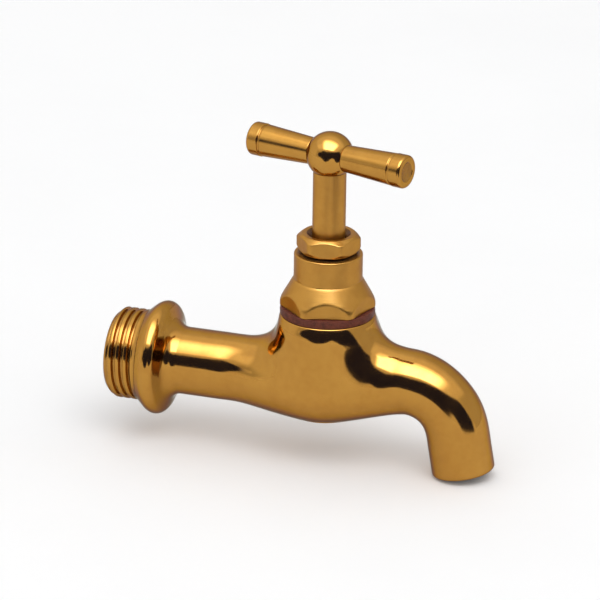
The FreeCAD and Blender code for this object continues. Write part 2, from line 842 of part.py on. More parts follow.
def handle_ball():
    """The ball of the T handle: flats for its two arms, a cross hole, and a socket for the tang."""
    body = new_body("handle_ball", sizes.valve_distance, sizes.ball_height, -sizes.handle_turn)
    sketch = new_sketch(body, "ball_outline", "XZ_Plane")
    flat, rim, ball = ball_flat.value, arm_root_radius.value, ball_radius.value
    hole = stud_hole_radius.value
    sketch.addGeometry(Part.Arc(Vector(flat, rim, 0), Vector(0, ball, 0), Vector(-flat, rim, 0)), False)
    sketch.addGeometry(Part.LineSegment(Vector(-flat, rim, 0), Vector(-flat, hole, 0)), False)
    sketch.addGeometry(Part.LineSegment(Vector(-flat, hole, 0), Vector(flat, hole, 0)), False)
    sketch.addGeometry(Part.LineSegment(Vector(flat, hole, 0), Vector(flat, rim, 0)), False)
    turning = feature(body, "Revolution", "turned_ball", sketch)
    turning.ReferenceAxis = (sketch, ["H_Axis"])
    turning.Angle = 360
    turned_cut(body, "stem_seat", [
        (0.0, -ball_radius),
        (ball_radius, -ball_radius),
        (ball_radius, -ball_seat_drop),
        (0.0, -ball_seat_drop),
    ])
    tang_hole = sizes.tang_diameter / 2 + sizes.fit_clearance
    turned_cut(body, "tang_socket", [
        (0.0, -ball_radius),
        (tang_hole, -ball_radius),
        (tang_hole, sizes.tang_height - ball_seat_drop + sizes.blind_hole_space),
        (0.0, sizes.tang_height - ball_seat_drop + sizes.blind_hole_space),
    ])
    return body


def handle_arm(label, turn):
    """A tapering arm with a banded end, bored to screw onto the stud."""
    body = new_body(label, sizes.valve_distance, sizes.ball_height, turn - sizes.handle_turn)
    end_radius = sizes.arm_end_diameter / 2
    band_start = arm_end - sizes.arm_band_width
    groove_start = band_start - sizes.arm_groove_width
    bore_end = ball_flat + sizes.stud_end_length + sizes.blind_hole_space
    turned(body, "turned_arm", [
        (ball_flat, stud_hole_radius),
        (ball_flat, arm_root_radius),
        (groove_start, end_radius - sizes.arm_groove_step),
        (groove_start, end_radius - sizes.arm_groove_depth),
        (band_start, end_radius - sizes.arm_groove_depth),
        (band_start, end_radius),
        (arm_end, end_radius),
        (arm_end, 0.0),
        (bore_end, 0.0),
        (bore_end, stud_hole_radius),
    ], "H_Axis")
    rim = circle_at(arm_end, end_radius, ALONG)
    rounded_edges(body, "rim_rounding", sizes.arm_rim_rounding, rim)
    return body


def handle_stud():
    """The threaded stud that crosses the ball and the tang and carries both arms."""
    body = new_body("handle_stud", sizes.valve_distance, sizes.ball_height, -sizes.handle_turn)
    half = ball_flat + sizes.stud_end_length
    turned(body, "turned_stud", [
        (-half, 0.0),
        (-half, stud_radius),
        (half, stud_radius),
        (half, 0.0),
    ], "H_Axis")
    return body


# Jumper and washer

def jumper():
    """The valve disc: a stem that stands in the spindle's socket, and a stud below for the washer."""
    body = new_body("jumper", sizes.valve_distance)
    disc = sizes.jumper_diameter / 2
    stem = sizes.jumper_stem_diameter / 2
    stud = sizes.jumper_stud_diameter / 2
    stem_end = jumper_top + sizes.jumper_stem_length
    turned(body, "turned_jumper", [
        (0.0, nut_bottom - sizes.screw_overhang),
        (stud, nut_bottom - sizes.screw_overhang),
        (stud, washer_top),
        (disc, washer_top),
        (disc, jumper_top),
        (stem, jumper_top),
        (stem, stem_end - sizes.jumper_tip_chamfer),
        (stem - sizes.jumper_tip_chamfer, stem_end),
        (0.0, stem_end),
    ])
    return body


def washer_nut():
    """The small hexagon nut that holds the washer on the jumper's stud."""
    body = new_body("washer_nut", sizes.valve_distance)
    hex_pad(body, "nut_hexagon", sizes.washer_nut_flats, nut_bottom, sizes.washer_nut_height)
    hole = sizes.jumper_stud_diameter / 2 + sizes.fit_clearance
    turned_cut(body, "nut_hole", [
        (0.0, nut_bottom),
        (hole, nut_bottom),
        (hole, plate_bottom),
        (0.0, plate_bottom),
    ])
    return body


def build_parts():
    """All the pieces of the tap, in the order in which they go together."""
    washer_hole = sizes.jumper_stud_diameter / 2 + sizes.fit_clearance
    return [
        tap_body(),
        ring_body("seat_washer", washer_hole, sizes.seat_washer_diameter / 2, washer_bottom, washer_top),
        ring_body("washer_plate", washer_hole, sizes.washer_plate_diameter / 2, plate_bottom, washer_bottom),
        washer_nut(),
        jumper(),
        bonnet_gasket(),
        bonnet(),
        packing_ring("lower_packing_ring", stuffing_floor, packing_middle),
        packing_ring("upper_packing_ring", packing_middle, packing_top),
        gland_follower(),
        gland_nut(),
        spindle(),
        handle_ball(),
        handle_stud(),
        handle_arm("near_handle_arm", Size("0", 0.0)),
        handle_arm("far_handle_arm", Size("180", 180.0)),
    ]


def check_and_export(pieces):
    """Stop on any failed object or bad solid, then write one STEP file for each piece."""
    document.recompute()
    for item in document.Objects:
        if "Invalid" in item.State or "Error" in item.State:
            raise RuntimeError("%s did not rebuild: %s" % (item.Label, item.State))
    for piece in pieces:
        shape = piece.Shape
        if shape.isNull() or not shape.isValid() or not shape.Solids:
            raise RuntimeError("%s has no sound solid" % piece.Label)
    os.makedirs("parts", exist_ok=True)
    for piece in pieces:
        piece.Shape.exportStep(os.path.join("parts", piece.Label + ".step"))
        print("%-20s %d solid %9.1f mm3" % (piece.Label, len(piece.Shape.Solids), piece.Shape.Volume))


check_and_export(build_parts())
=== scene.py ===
import json
import math
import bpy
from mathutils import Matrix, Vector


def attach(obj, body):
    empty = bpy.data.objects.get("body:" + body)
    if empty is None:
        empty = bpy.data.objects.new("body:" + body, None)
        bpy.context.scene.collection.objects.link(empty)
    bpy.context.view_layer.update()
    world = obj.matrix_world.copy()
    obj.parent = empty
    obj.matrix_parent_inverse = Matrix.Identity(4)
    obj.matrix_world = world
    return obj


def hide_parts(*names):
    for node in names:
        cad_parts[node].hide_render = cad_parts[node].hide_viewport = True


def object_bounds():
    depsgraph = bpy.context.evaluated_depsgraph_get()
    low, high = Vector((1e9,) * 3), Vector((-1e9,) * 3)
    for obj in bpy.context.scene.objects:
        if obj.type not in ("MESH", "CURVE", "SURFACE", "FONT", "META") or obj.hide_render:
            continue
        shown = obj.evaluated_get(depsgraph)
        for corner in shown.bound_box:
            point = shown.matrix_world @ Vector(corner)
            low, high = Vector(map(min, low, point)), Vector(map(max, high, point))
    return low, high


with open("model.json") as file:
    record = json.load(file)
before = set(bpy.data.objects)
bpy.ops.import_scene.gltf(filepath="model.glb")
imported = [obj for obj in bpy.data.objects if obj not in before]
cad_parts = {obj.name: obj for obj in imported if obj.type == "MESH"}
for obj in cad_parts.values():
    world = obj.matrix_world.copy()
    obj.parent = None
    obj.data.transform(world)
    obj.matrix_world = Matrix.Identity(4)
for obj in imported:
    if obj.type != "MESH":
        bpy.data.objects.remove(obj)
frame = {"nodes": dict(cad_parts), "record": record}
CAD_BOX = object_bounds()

from types import SimpleNamespace

import bpy
import numpy as np
from bpy.props import FloatProperty, FloatVectorProperty, PointerProperty
from bpy.types import Operator, Panel, PropertyGroup
from mathutils import Matrix, Vector

bl_info = {
    "name": "Screw-down bib tap",
    "version": (1, 0, 0),
    "blender": (4, 5, 0),
    "location": "View3D > Sidebar > Bib tap",
    "description": "Builds a polished brass bib tap around its packed CAD frame",
    "category": "Object",
}

MM = 0.001
TURN = 2 * math.pi
WHITE = (1.0, 1.0, 1.0)

# Points round the casting and the gland nut, then millimetres
AROUND = 192
LIP_HEIGHT = 1.6
PIT_RADIUS = 8.9
STEM_HOLE = 3.85


# Sizes and colours that a user would change

def length(name, description, millimetres, low=0.0):
    return FloatProperty(name=name, description=description, default=millimetres * MM, min=low,
                         unit="LENGTH", subtype="DISTANCE", precision=5)


def angle(name, description, degrees):
    return FloatProperty(name=name, description=description, default=math.radians(degrees),
                         unit="ROTATION", subtype="ANGLE")


def colour(name, description, value):
    return FloatVectorProperty(name=name, description=description, default=value,
                               size=3, min=0.0, max=1.0, subtype="COLOR")


def share(name, description, value, high=1.0):
    return FloatProperty(name=name, description=description, default=value, min=0.0, max=high,
                         subtype="FACTOR")


class CastingSizes(PropertyGroup):
    """Outside of the brass casting."""

    tail_length: length("Tail length", "From the collar's shoulder to the end of the tail", 8.2)
    thread_diameter: length("Thread diameter", "Over the crests of the inlet thread", 20.75)
    thread_depth: length("Thread depth", "Crest to root", 0.85)
    thread_pitch: length("Thread pitch", "Distance between two crests", 1.814)
    shank_length: length("Shank length", "Plain part between thread and collar", 1.2)
    shank_diameter: length("Shank diameter", "Plain part between thread and collar", 20.955)
    inlet_bore: length("Inlet bore", "Inside diameter of the tail", 11.8)
    collar_peak: length("Collar peak", "Largest diameter of the collar, before rounding", 27.15)
    barrel_diameter: length("Barrel diameter", "Outside of the plain barrel", 15.4)
    valve_distance: length("Valve distance", "From the shoulder to the valve's axis", 42.2)
    bowl_depth: length("Bowl depth", "From the inlet axis down to the bowl's belly", 9.45)
    bowl_width: length("Bowl width", "Width of the bowl at the valve", 24.0)
    boss_diameter: length("Boss diameter", "At the gasket", 21.7)
    boss_height: length("Boss height", "From the inlet axis to the gasket", 16.2)
    boss_draft: length("Boss draft", "How much wider the boss is at its foot", 1.6)
    shoulder_radius: length("Shoulder radius", "Rounding of the boss's sides up to the gasket", 7.1)
    boss_blend: length("Boss blend", "Reach of the soft blend between boss, bowl and spout", 9.0)
    spout_diameter: length("Spout diameter", "Where the spout starts to bend", 15.3)
    spout_rise: length("Spout rise", "Height of the bend's start over the inlet axis", 2.15, low=-1.0)
    bend_distance: length("Bend distance", "From the shoulder to the bend's start", 58.8)
    bend_radius: length("Bend radius", "At the middle of the spout", 12.5)
    bend_start: angle("Bend start", "Slope where the bend starts", 10.8)
    nose_angle: angle("Nose angle", "Downward slope of the nose", 80.0)
    nose_length: length("Nose length", "Straight end of the spout", 9.65)
    nose_diameter: length("Nose diameter", "Outside of the straight end", 14.3)
    outlet_bore: length("Outlet bore", "Inside of the nose", 11.2)


class HeadworkSizes(PropertyGroup):
    """Gasket, bonnet and gland nut."""

    gasket_thickness: length("Gasket thickness", "Height of the fibre ring", 1.9)
    gasket_diameter: length("Gasket diameter", "Outside of the fibre ring", 21.5)
    bonnet_flats: length("Bonnet flats", "Across the flats of the bonnet's hexagon", 19.2)
    bonnet_corners: length("Bonnet corners", "Diameter to which the hexagon's corners are turned", 21.5)
    bonnet_hex_height: length("Bonnet hexagon", "Height of the hexagon with its cone", 6.8)
    bonnet_cone_drop: length("Bonnet cone", "Height of the cone that cuts the hexagon's top", 5.9)
    bonnet_neck: length("Bonnet neck", "Diameter of the round neck", 15.5)
    bonnet_neck_height: length("Bonnet neck height", "From the hexagon to the neck's end", 5.9)
    bonnet_turn: angle("Bonnet turn", "Turn of the hexagon about the stem", 17.5)
    gland_flats: length("Gland flats", "Across the flats of the gland nut", 13.0)
    gland_gap: length("Gland gap", "Space between bonnet and gland nut", 0.55)
    gland_height: length("Gland height", "Height of the gland nut's head", 4.1)
    gland_turn: angle("Gland turn", "Turn of the gland nut about the stem", 12.0)


class HandleSizes(PropertyGroup):
    """The T handle."""

    ball_diameter: length("Ball diameter", "Ball at the middle of the bar", 10.7)
    ball_height: length("Ball height", "From the inlet axis to the bar's axis", 53.9)
    bar_length: length("Bar length", "From end to end", 40.4)
    bar_turn: angle("Bar turn", "Turn of the bar about the stem", 13.5)
    arm_root: length("Arm root", "Diameter of an arm at the ball", 6.1)
    arm_end: length("Arm end", "Diameter of an arm at its end", 7.6)
    band_width: length("Band width", "Width of the band at an arm's end", 2.9)


class Finishes(PropertyGroup):
    """Colours and gloss."""

    brass: colour("Brass", "Polished brass, seen in a white light", (0.47, 0.228, 0.033))
    brass_deep: colour("Deep brass", "Brass where its lacquer has darkened", (0.425, 0.195, 0.026))
    # Dirt and painted shade: this dark colour is laid into hollows, grooves, bores and recesses
    brass_dirt_and_shade: colour("Dull brass", "Dirt and oxide in grooves", (0.10, 0.045, 0.018))
    brass_edge: colour("Brass edge", "Share of the shine that is left where the brass turns away",
                       (0.26, 0.22, 0.12))
    turned_brass: colour("Turned brass", "Inner pieces, not polished", (0.42, 0.24, 0.06))
    fibre: colour("Red fibre", "The gasket", (0.125, 0.026, 0.010))
    rubber: colour("Rubber", "The seat washer", (0.016, 0.016, 0.017))
    packing: colour("Packing", "Graphited yarn", (0.035, 0.034, 0.033))
    gloss: share("Casting roughness", "Roughness of the polished casting", 0.095)
    handle_gloss: share("Handle roughness", "Roughness of the handle's arms", 0.16)
    head_gloss: share("Headwork roughness", "Roughness of bonnet, gland nut and stem, which were only turned",
                      0.33)
    coat: share("Lacquer", "Strength of the clear lacquer", 0.35)


class StageSettings(PropertyGroup):
    """Light and floor."""

    floor: colour("Floor", "Colour of the floor", (0.94, 0.94, 0.94))
    key_power: FloatProperty(name="Key power", description="Large soft lamp overhead in front",
                             default=30.0, min=0.0, unit="POWER")
    room_light: share("Room light", "Even light from all round", 0.86)
    panel_strength: share("Panel strength", "Brightness of the overhead panel in the metal", 9.0, 20.0)
    flag_strength: share("Flag strength", "Brightness of the dark flag in the metal", 0.12)


def in_mm(context, key):
    """The sizes of a group as plain values: lengths in millimetres, angles in radians."""
    group, values = getattr(context.scene, "bib_tap_" + key), {}
    for name in type(group).__annotations__:
        unit = MM if group.bl_rna.properties[name].unit == "LENGTH" else 1.0
        values[name] = getattr(group, name) / unit
    return SimpleNamespace(**values)


# Curves and profiles

def spline(knots, values, at):
    """Natural cubic spline: each stretch is a cubic, and slope and curvature run on across the knots."""
    knots, values, at = (np.asarray(item, float) for item in (knots, values, at))
    gaps = np.diff(knots)
    count = len(knots)
    matrix, right = np.eye(count), np.zeros(count)
    inner = np.arange(1, count - 1)
    matrix[inner, inner - 1] = gaps[:-1]
    matrix[inner, inner] = 2 * (gaps[:-1] + gaps[1:])
    matrix[inner, inner + 1] = gaps[1:]
    right[1:-1] = 6 * np.diff(np.diff(values) / gaps)
    bend = np.linalg.solve(matrix, right)
    cell = np.clip(np.searchsorted(knots, at) - 1, 0, count - 2)
    gap = gaps[cell]
    low, high = (knots[cell + 1] - at) / gap, (at - knots[cell]) / gap
    curve = (low ** 3 - low) * bend[cell] + (high ** 3 - high) * bend[cell + 1]
    return low * values[cell] + high * values[cell + 1] + curve * gap ** 2 / 6


def stretches(start, *spans):
    """Even values through neighbouring stretches: each span is a stretch's end and its number of values."""
    values = [[start]]
    for end, count in spans:
        values.append(np.linspace(values[-1][-1], end, count)[1:])
    return np.concatenate(values)


def smooth(part):
    """A soft step from 0 to 1: three times the square less twice the cube."""
    part = np.clip(part, 0, 1)
    return part * part * (3 - 2 * part)


def soft_min(first, second, reach):
    """The lower of two surfaces, rounded off where they are closer than reach."""
    near = np.maximum(reach - np.abs(first - second), 0)
    return np.minimum(first, second) - near ** 2 / (4 * np.maximum(reach, 1e-9))


def soft_max(first, second, reach):
    return -soft_min(-first, -second, reach)


def run(start, end, step):
    """Points along a straight run without its ends, with a short stretch at each end to hold its shading."""
    size = np.hypot(*(end - start))
    if size < 1e-9:
        return np.zeros((0, 2))
    edge = min(0.08 / size, 0.3)
    shares = np.linspace(edge, 1 - edge, max(2, math.ceil(size / step)))
    return start + (end - start) * shares[:, None]


def profile(corners, step, closed=False):
    """Points along straight runs whose corners are rounded.

    Each corner is (along, out, rounding). The arc at a corner touches both runs, and its points
    stand on the circle at even turns from one run's direction to the next.
    """
    spots = np.array([corner[:2] for corner in corners], float)
    count = len(spots)
    arcs = []
    for i, corner in enumerate(corners):
        inner = closed or 0 < i < count - 1
        if not inner or len(corner) < 3:
            arcs.append(spots[i][None])
            continue
        before, after = spots[i] - spots[i - 1], spots[(i + 1) % count] - spots[i]
        before, after = before / np.hypot(*before), after / np.hypot(*after)
        turn = math.atan2(before[0] * after[1] - before[1] * after[0], before @ after)
        start = spots[i] - before * corner[2] * abs(math.tan(turn / 2))
        spoke = math.copysign(corner[2], turn) * np.array([before[1], -before[0]])
        across = np.array([-spoke[1], spoke[0]])
        steps = max(3, math.ceil(abs(turn) / math.radians(11)))
        turns = np.linspace(0, turn, steps + 1)[:, None]
        arcs.append(start - spoke + np.cos(turns) * spoke + np.sin(turns) * across)
    pieces = []
    for i, bow in enumerate(arcs):
        pieces.append(bow)
        if closed or i < count - 1:
            pieces.append(run(bow[-1], arcs[(i + 1) % count][0], step))
    points = np.concatenate(pieces)
    apart = np.hypot(*(points - np.roll(points, 1, axis=0)).T) > 1e-6
    apart[0] |= not closed
    return points[apart]


# Meshes from grids of points

def stack(*parts):
    """Points from their coordinates, each a number or an array that fits the others."""
    return np.stack(np.broadcast_arrays(*parts), axis=-1)


def circle(count):
    """Even angles once round."""
    return np.arange(count) * TURN / count


def grid_faces(rows, columns, first=0, wrap_rows=False, wrap_columns=True):
    """Four-sided faces between neighbouring points; a wrap joins the last row or column to the first."""
    i = np.arange(rows if wrap_rows else rows - 1)[:, None]
    j = np.arange(columns if wrap_columns else columns - 1)
    next_i, next_j = (i + 1) % rows, (j + 1) % columns
    corners = stack(i * columns + j, i * columns + next_j, next_i * columns + next_j, next_i * columns + j)
    return (corners.reshape(-1, 4) + first).tolist()


def add_object(name, data):
    item = bpy.data.objects.new(name, data)
    bpy.context.scene.collection.objects.link(item)
    return item


def add_mesh(name, points, faces, layer, values, normals=None):
    """A smooth mesh object from millimetre points with a layer of values; a nil normal is left to Blender."""
    mesh = bpy.data.meshes.new(name)
    mesh.from_pydata((points * MM).tolist(), [], faces)
    mesh.shade_smooth()
    mesh.attributes.new(layer, "FLOAT", "POINT").data.foreach_set("value", np.asarray(values, np.float32))
    mesh.validate()
    mesh.update()
    if normals is not None:
        mesh.normals_split_custom_set_from_vertices(normals.tolist())
    return add_object(name, mesh)


def add_grid(name, points, wrap=False, groove=None, normals=None, rim=None):
    """A closed surface from an array of rings: the ends get a centre point each, or wrap onto each other.

    A rim is a second array of rings, with its normals, that closes on itself and goes into the same mesh.
    """
    rings, around = points.shape[:2]
    flat = points.reshape(-1, 3)
    groove = np.zeros(len(flat)) if groove is None else groove.reshape(-1)
    faces = grid_faces(rings, around, wrap_rows=wrap)
    if not wrap:
        j = np.arange(around)
        next_j = (j + 1) % around
        base = (rings - 1) * around
        faces += stack(len(flat), next_j, j).tolist() + stack(len(flat) + 1, base + j, base + next_j).tolist()
        flat = np.concatenate([flat, points[[0, -1]].mean(axis=1)])
        groove = np.append(groove, groove[[0, -1]])
    if rim is not None:
        rim_points, rim_normals = rim
        faces += grid_faces(*rim_points.shape[:2], first=len(flat), wrap_rows=True)
        groove = np.append(groove, np.zeros(rim_points[..., 0].size))
        normals = np.concatenate([normals.reshape(-1, 3), np.zeros((2, 3)), rim_normals.reshape(-1, 3)])
        flat = np.concatenate([flat, rim_points.reshape(-1, 3)])
    return add_mesh(name, flat, faces, "groove", groove, normals)


def hollows(points, *zones):
    """1 in the hollows of a piece turned about its own axis: each zone is a largest radius and two levels."""
    radius, level = np.hypot(points[..., 0], points[..., 1]), points[..., 2]
    inside = [(radius < widest) & (level > low) & (level < high) for widest, low, high in zones]
    return np.any(inside, axis=0).astype(float)


def stacked(levels, radii, angles):
    """Rings about an upright axis: the radius times cosine and sine of the angle, at each level."""
    levels, radii = levels[:, None], radii if radii.ndim > 1 else radii[:, None]
    return stack(radii * np.cos(angles), radii * np.sin(angles), levels)


def about_inlet(places, radii, angles):
    """Rings about the inlet's axis: the place, then the radius times cosine and sine of the angle."""
    return np.roll(stacked(places, radii, angles), 1, axis=-1)


def placed(local, to_frame):
    """Points turned and moved by a matrix."""
    matrix = np.array(to_frame)
    return local @ matrix[:3, :3].T + matrix[:3, 3]


def turned_points(outline, around, to_frame):
    """Each outline point (along, out) runs round its axis, which is then set in its place."""
    return placed(stacked(*outline.T, circle(around)), to_frame)


def upright(context, level=0.0):
    """From a piece's own axis to the valve's axis, in millimetres."""
    return Matrix.Translation((context.scene.bib_tap_casting.valve_distance / MM, 0, level))


def along_bar(context, end):
    """From an arm's own axis to the handle's bar; end is 1 for the right arm and -1 for the left."""
    handle = context.scene.bib_tap_handle
    bar = Matrix.Rotation(-handle.bar_turn + (0 if end > 0 else math.pi), 4, "Z")
    return upright(context, handle.ball_height / MM) @ bar @ Matrix.Rotation(math.pi / 2, 4, "Y")


# The casting

def spine_stations(size):
    """Sections along the waterway: x, z, slope in degrees, half width and half height, in millimetres.

    The barrel is straight, the bowl grows from it by the shares in the table, and the spout follows a
    circle's arc to the straight nose.
    """
    barrel, spout, nose = size.barrel_diameter / 2, size.spout_diameter / 2, size.nose_diameter / 2
    wide, deep, valve = size.bowl_width / 2, size.bowl_depth, size.valve_distance
    rise, bend, radius = size.spout_rise, size.bend_distance, size.bend_radius
    stations = [(x, 0.0, 0.0, barrel, barrel) for x in (10.0, 14.0, 18.0, 21.5)]
    bowl_start, swell, arc_steps = 20.0, 0.35, 5
    for way, sink, spread in ((0.25, 0.2, 0.12), (0.47, 0.53, 0.48), (0.74, 0.87, 0.87), (1.0, 1.0, 1.0)):
        bottom = -barrel - (deep - barrel) * sink
        top = barrel + 1.4 * way ** 2
        half_width = barrel + swell + (wide - barrel - swell) * spread
        stations.append((bowl_start + (valve - bowl_start) * way, (top + bottom) / 2, 3 * way,
                         half_width, (top - bottom) / 2))
    bottom, top = -deep * 0.82, rise + spout - 0.6
    stations.append((valve + (bend - valve) * 0.45, (top + bottom) / 2, 8.0,
                     spout + (wide - spout) * 0.75, (top - bottom) / 2))
    first, last = size.bend_start, -size.nose_angle
    for step in range(arc_steps + 1):
        slope = first + (last - first) * step / arc_steps
        x = bend + radius * (math.sin(first) - math.sin(slope))
        z = rise + radius * (math.cos(slope) - math.cos(first))
        half = spout + (nose - spout) * min(1, step / 3)
        stations.append((x, z, math.degrees(slope), half, half))
    for part in (0.33, 0.66, 1.0):
        reach = size.nose_length * part
        stations.append((x + reach * math.cos(last), z + reach * math.sin(last),
                         math.degrees(last), nose, nose))
    return np.array(stations)


class Spine:
    """The smooth run of sections: every value is a natural spline over the length along the centres."""

    def __init__(self, size):
        self.size = size
        stations = spine_stations(size)
        gaps = np.hypot(np.diff(stations[:, 0]), np.diff(stations[:, 1]))
        knots = np.concatenate([[0], np.cumsum(gaps)])
        self.total = knots[-1]
        self.fine = np.linspace(0, self.total, 1500)
        self.table = [spline(knots, column, self.fine) for column in stations.T]

    def at(self, place):
        """Centre, slope in radians, half width and half height."""
        x, z, slope, half_width, half_height = (np.interp(place, self.fine, column) for column in self.table)
        return x, z, np.radians(slope), half_width, half_height

    def rings(self, places, angles, radius=None):
        """Centre plus half width times cosine sideways plus half height times sine square to the path.

        Radii of their own make the sections round.
        """
        x, z, slope, half_width, half_height = (item[:, None] for item in self.at(places))
        if radius is not None:
            half_width = half_height = radius[:, None]
        up = half_height * np.sin(angles)
        return stack(x - up * np.sin(slope), half_width * np.cos(angles), z + up * np.cos(slope))

    def outside(self, points, guess):
        """How far points stand off the tube, and the tube's outward direction there.

        The place along the spine is stepped until the point lies in that section's plane. The distance
        is (q - 1) times the half height, where q is 1 on the section's oval.
        """
        place = guess
        for _ in range(8):
            x, z, slope, half_width, half_height = self.at(place)
            ahead = (points[..., 0] - x) * np.cos(slope) + (points[..., 2] - z) * np.sin(slope)
            place = np.clip(place + ahead, 0, self.total)
        up = -(points[..., 0] - x) * np.sin(slope) + (points[..., 2] - z) * np.cos(slope)
        side = points[..., 1]
        q = np.sqrt((side / half_width) ** 2 + (up / half_height) ** 2)
        way_side, way_up = side / half_width ** 2, up / half_height ** 2
        norm = np.sqrt(way_side ** 2 + way_up ** 2) + 1e-9
        direction = stack(-way_up * np.sin(slope), way_side, way_up * np.cos(slope)) / norm[..., None]
        return (q - 1) * half_height, direction


def blend_floor(x):
    """The level at which the boss's blend ends: low under the bowl, rising along the spout's bend."""
    lowest, bend, slope = -4, 57, 0.45
    return lowest + slope * np.maximum(x - bend, 0)


def arc(rise, radius):
    """How far a shoulder has drawn in at a rise over its start: the rise squared over twice the radius."""
    return np.maximum(rise, 0) ** 2 / (2 * radius)


def boss_radius(level, sideways, size):
    """Radius of the boss: along the tap a slightly coned post, to the sides a fuller, rounded wall.

    Sideways is 0 along the inlet axis and 1 square to it, and the two are mixed smoothly between.
    """
    top, shoulder = size.boss_height, size.shoulder_radius
    post = (size.boss_diameter + size.boss_draft * np.clip(1 - level / top, 0, 1)) / 2
    post = post - arc(level - (top - 1.0), 2.3)
    wall = size.bowl_width / 2 - 0.12 - arc(level - (top - 0.55 * shoulder), shoulder)
    return post + (wall - post) * smooth((sideways - 0.25) / 0.45)


def boss_gap(spot, hint, spine):
    """How far a point stands off the tube with its boss.

    It is the soft lower of two distances, the tube's and the boss's. The blend is wide where tube and
    boss meet square to each other and fades out where they run side by side.
    """
    size = spine.size
    flare_level, flare, fade, least_blend = 3, 0.04, 6, 0.02
    tube, outward = spine.outside(spot, hint)
    across = spot[..., :2] - [size.valve_distance, 0.0]
    out = np.linalg.norm(across, axis=-1) + 1e-9
    sunk = np.maximum(flare_level - spot[..., 2], 0)
    post = out - boss_radius(spot[..., 2], np.abs(across[..., 1]) / out, size) + flare * sunk ** 2
    alike = np.clip((across * outward[..., :2]).sum(axis=-1) / out, 0, 1)
    above = np.clip((spot[..., 2] - blend_floor(spot[..., 0])) / fade, 0, 1)
    return soft_min(tube, post, size.boss_blend * (1 - alike) ** 0.75 * above + least_blend)


def blend_normals(points, hint, spine):
    """The outward normals of tube and boss: how their gap grows along each of the three axes."""
    growth = [boss_gap(points + nudge, hint, spine) - boss_gap(points - nudge, hint, spine)
              for nudge in np.eye(3) * 0.12]
    slope = np.stack(growth, axis=-1)
    return slope / np.linalg.norm(slope, axis=-1, keepdims=True)


def crossing(low, high, gap):
    """The step between low and high where a gap that grows from inside to outside is nought, by halving."""
    for _ in range(26):
        middle = (low + high) / 2
        inside = gap(middle) < 0
        low = np.where(inside, middle, low)
        high = np.where(inside, high, middle)
    return (low + high) / 2


def sunk_lid(lid, valve, top):
    """The lid under the bonnet as a pit for the valve disc: its outer share becomes the wall."""
    wall, floor, wall_share = 8.6, -3.0, 0.45
    across = lid[:, :2] - [valve, 0.0]
    out = np.linalg.norm(across, axis=-1, keepdims=True) + 1e-9
    way_in = 1 - out / PIT_RADIUS
    down = np.clip(way_in / wall_share, 0, 1)
    spread = wall * np.clip((1 - way_in) / (1 - wall_share), 0, 1)
    return np.concatenate([across / out * spread + [valve, 0.0], top + (floor - top) * down], axis=-1)


def blended(points, guess, spine):
    """Moves the points near the valve out along lines from the valve's centre to the blended surface.

    It gives the points and which of them lie in the sunken lid.
    """
    size = spine.size
    valve, cut = size.valve_distance, size.boss_height - 1.0
    centre = np.array([valve, 0.0, -1.0])
    off_axis = np.hypot(points[..., 0] - valve, points[..., 1])
    reach = (size.boss_diameter + size.boss_draft) / 2 + size.boss_blend + 0.5
    near = (off_axis < reach) & (points[..., 2] > blend_floor(points[..., 0]))
    away, hint = points[near] - centre, guess[near]
    far = np.linalg.norm(away, axis=-1, keepdims=True)
    away /= far

    def gap(step):
        spot = centre + away * step[:, None]
        return soft_max(boss_gap(spot, hint, spine), spot[:, 2] - cut, 0.5)

    moved = points.copy()
    moved[near] = centre + away * crossing(far[:, 0] * 0.8, far[:, 0] * 2.6, gap)[:, None]
    off_axis = np.hypot(moved[..., 0] - valve, moved[..., 1])
    lid = near & (moved[..., 2] > cut - 0.35) & (off_axis < PIT_RADIUS)
    moved[lid] = sunk_lid(moved[lid], valve, cut)
    return moved, lid


def boss_rim(spine, angles):
    """The machined rim of the boss: the same surface, in rings square to the valve's axis, and its normals.

    It lies a few thousandths of a millimetre over the casting and dips under it further down, so that
    the two surfaces pass through each other without a visible step. Its top edge is a circle's arc.
    """
    valve, top = spine.size.valve_distance, spine.size.boss_height
    bore, widest, depth = 9.0, 16.0, 4.4
    over, dip_depth = 0.003, 3.2
    level = np.linspace(top - depth, top, 32)
    ways_out = stack(np.cos(angles), np.sin(angles), 0.0)
    axis = stack(valve, 0.0, level)[:, None]

    def hint_at(spot):
        return np.interp(spot[..., 0], spine.table[0][:900], spine.fine[:900])

    def gap(step):
        spot = axis + ways_out * step[..., None]
        return boss_gap(spot, hint_at(spot), spine)

    shape = (len(level), len(angles))
    outside = crossing(np.full(shape, bore), np.full(shape, widest), gap)
    wall = axis + ways_out * outside[..., None]
    inner = bore + np.array([0.4, 0.1, 0, 0, 0, 0.1])
    inner_level = top - np.array([0, 0, 0.1, depth / 2, depth - 0.1, depth])
    normals = np.zeros((len(level) + len(inner), len(angles), 3))
    normals[:len(level) - 2] = blend_normals(wall, hint_at(wall), spine)[:-2]
    dip = np.clip((top - dip_depth - level) / 0.6, 0, None)
    outside += (over - 0.02 * dip ** 2)[:, None]
    inner = np.broadcast_to(inner[:, None], (len(inner), len(angles)))
    rings = stacked(np.concatenate([level, inner_level]), np.concatenate([outside, inner]), angles)
    rings[..., 0] += valve
    return rings, normals


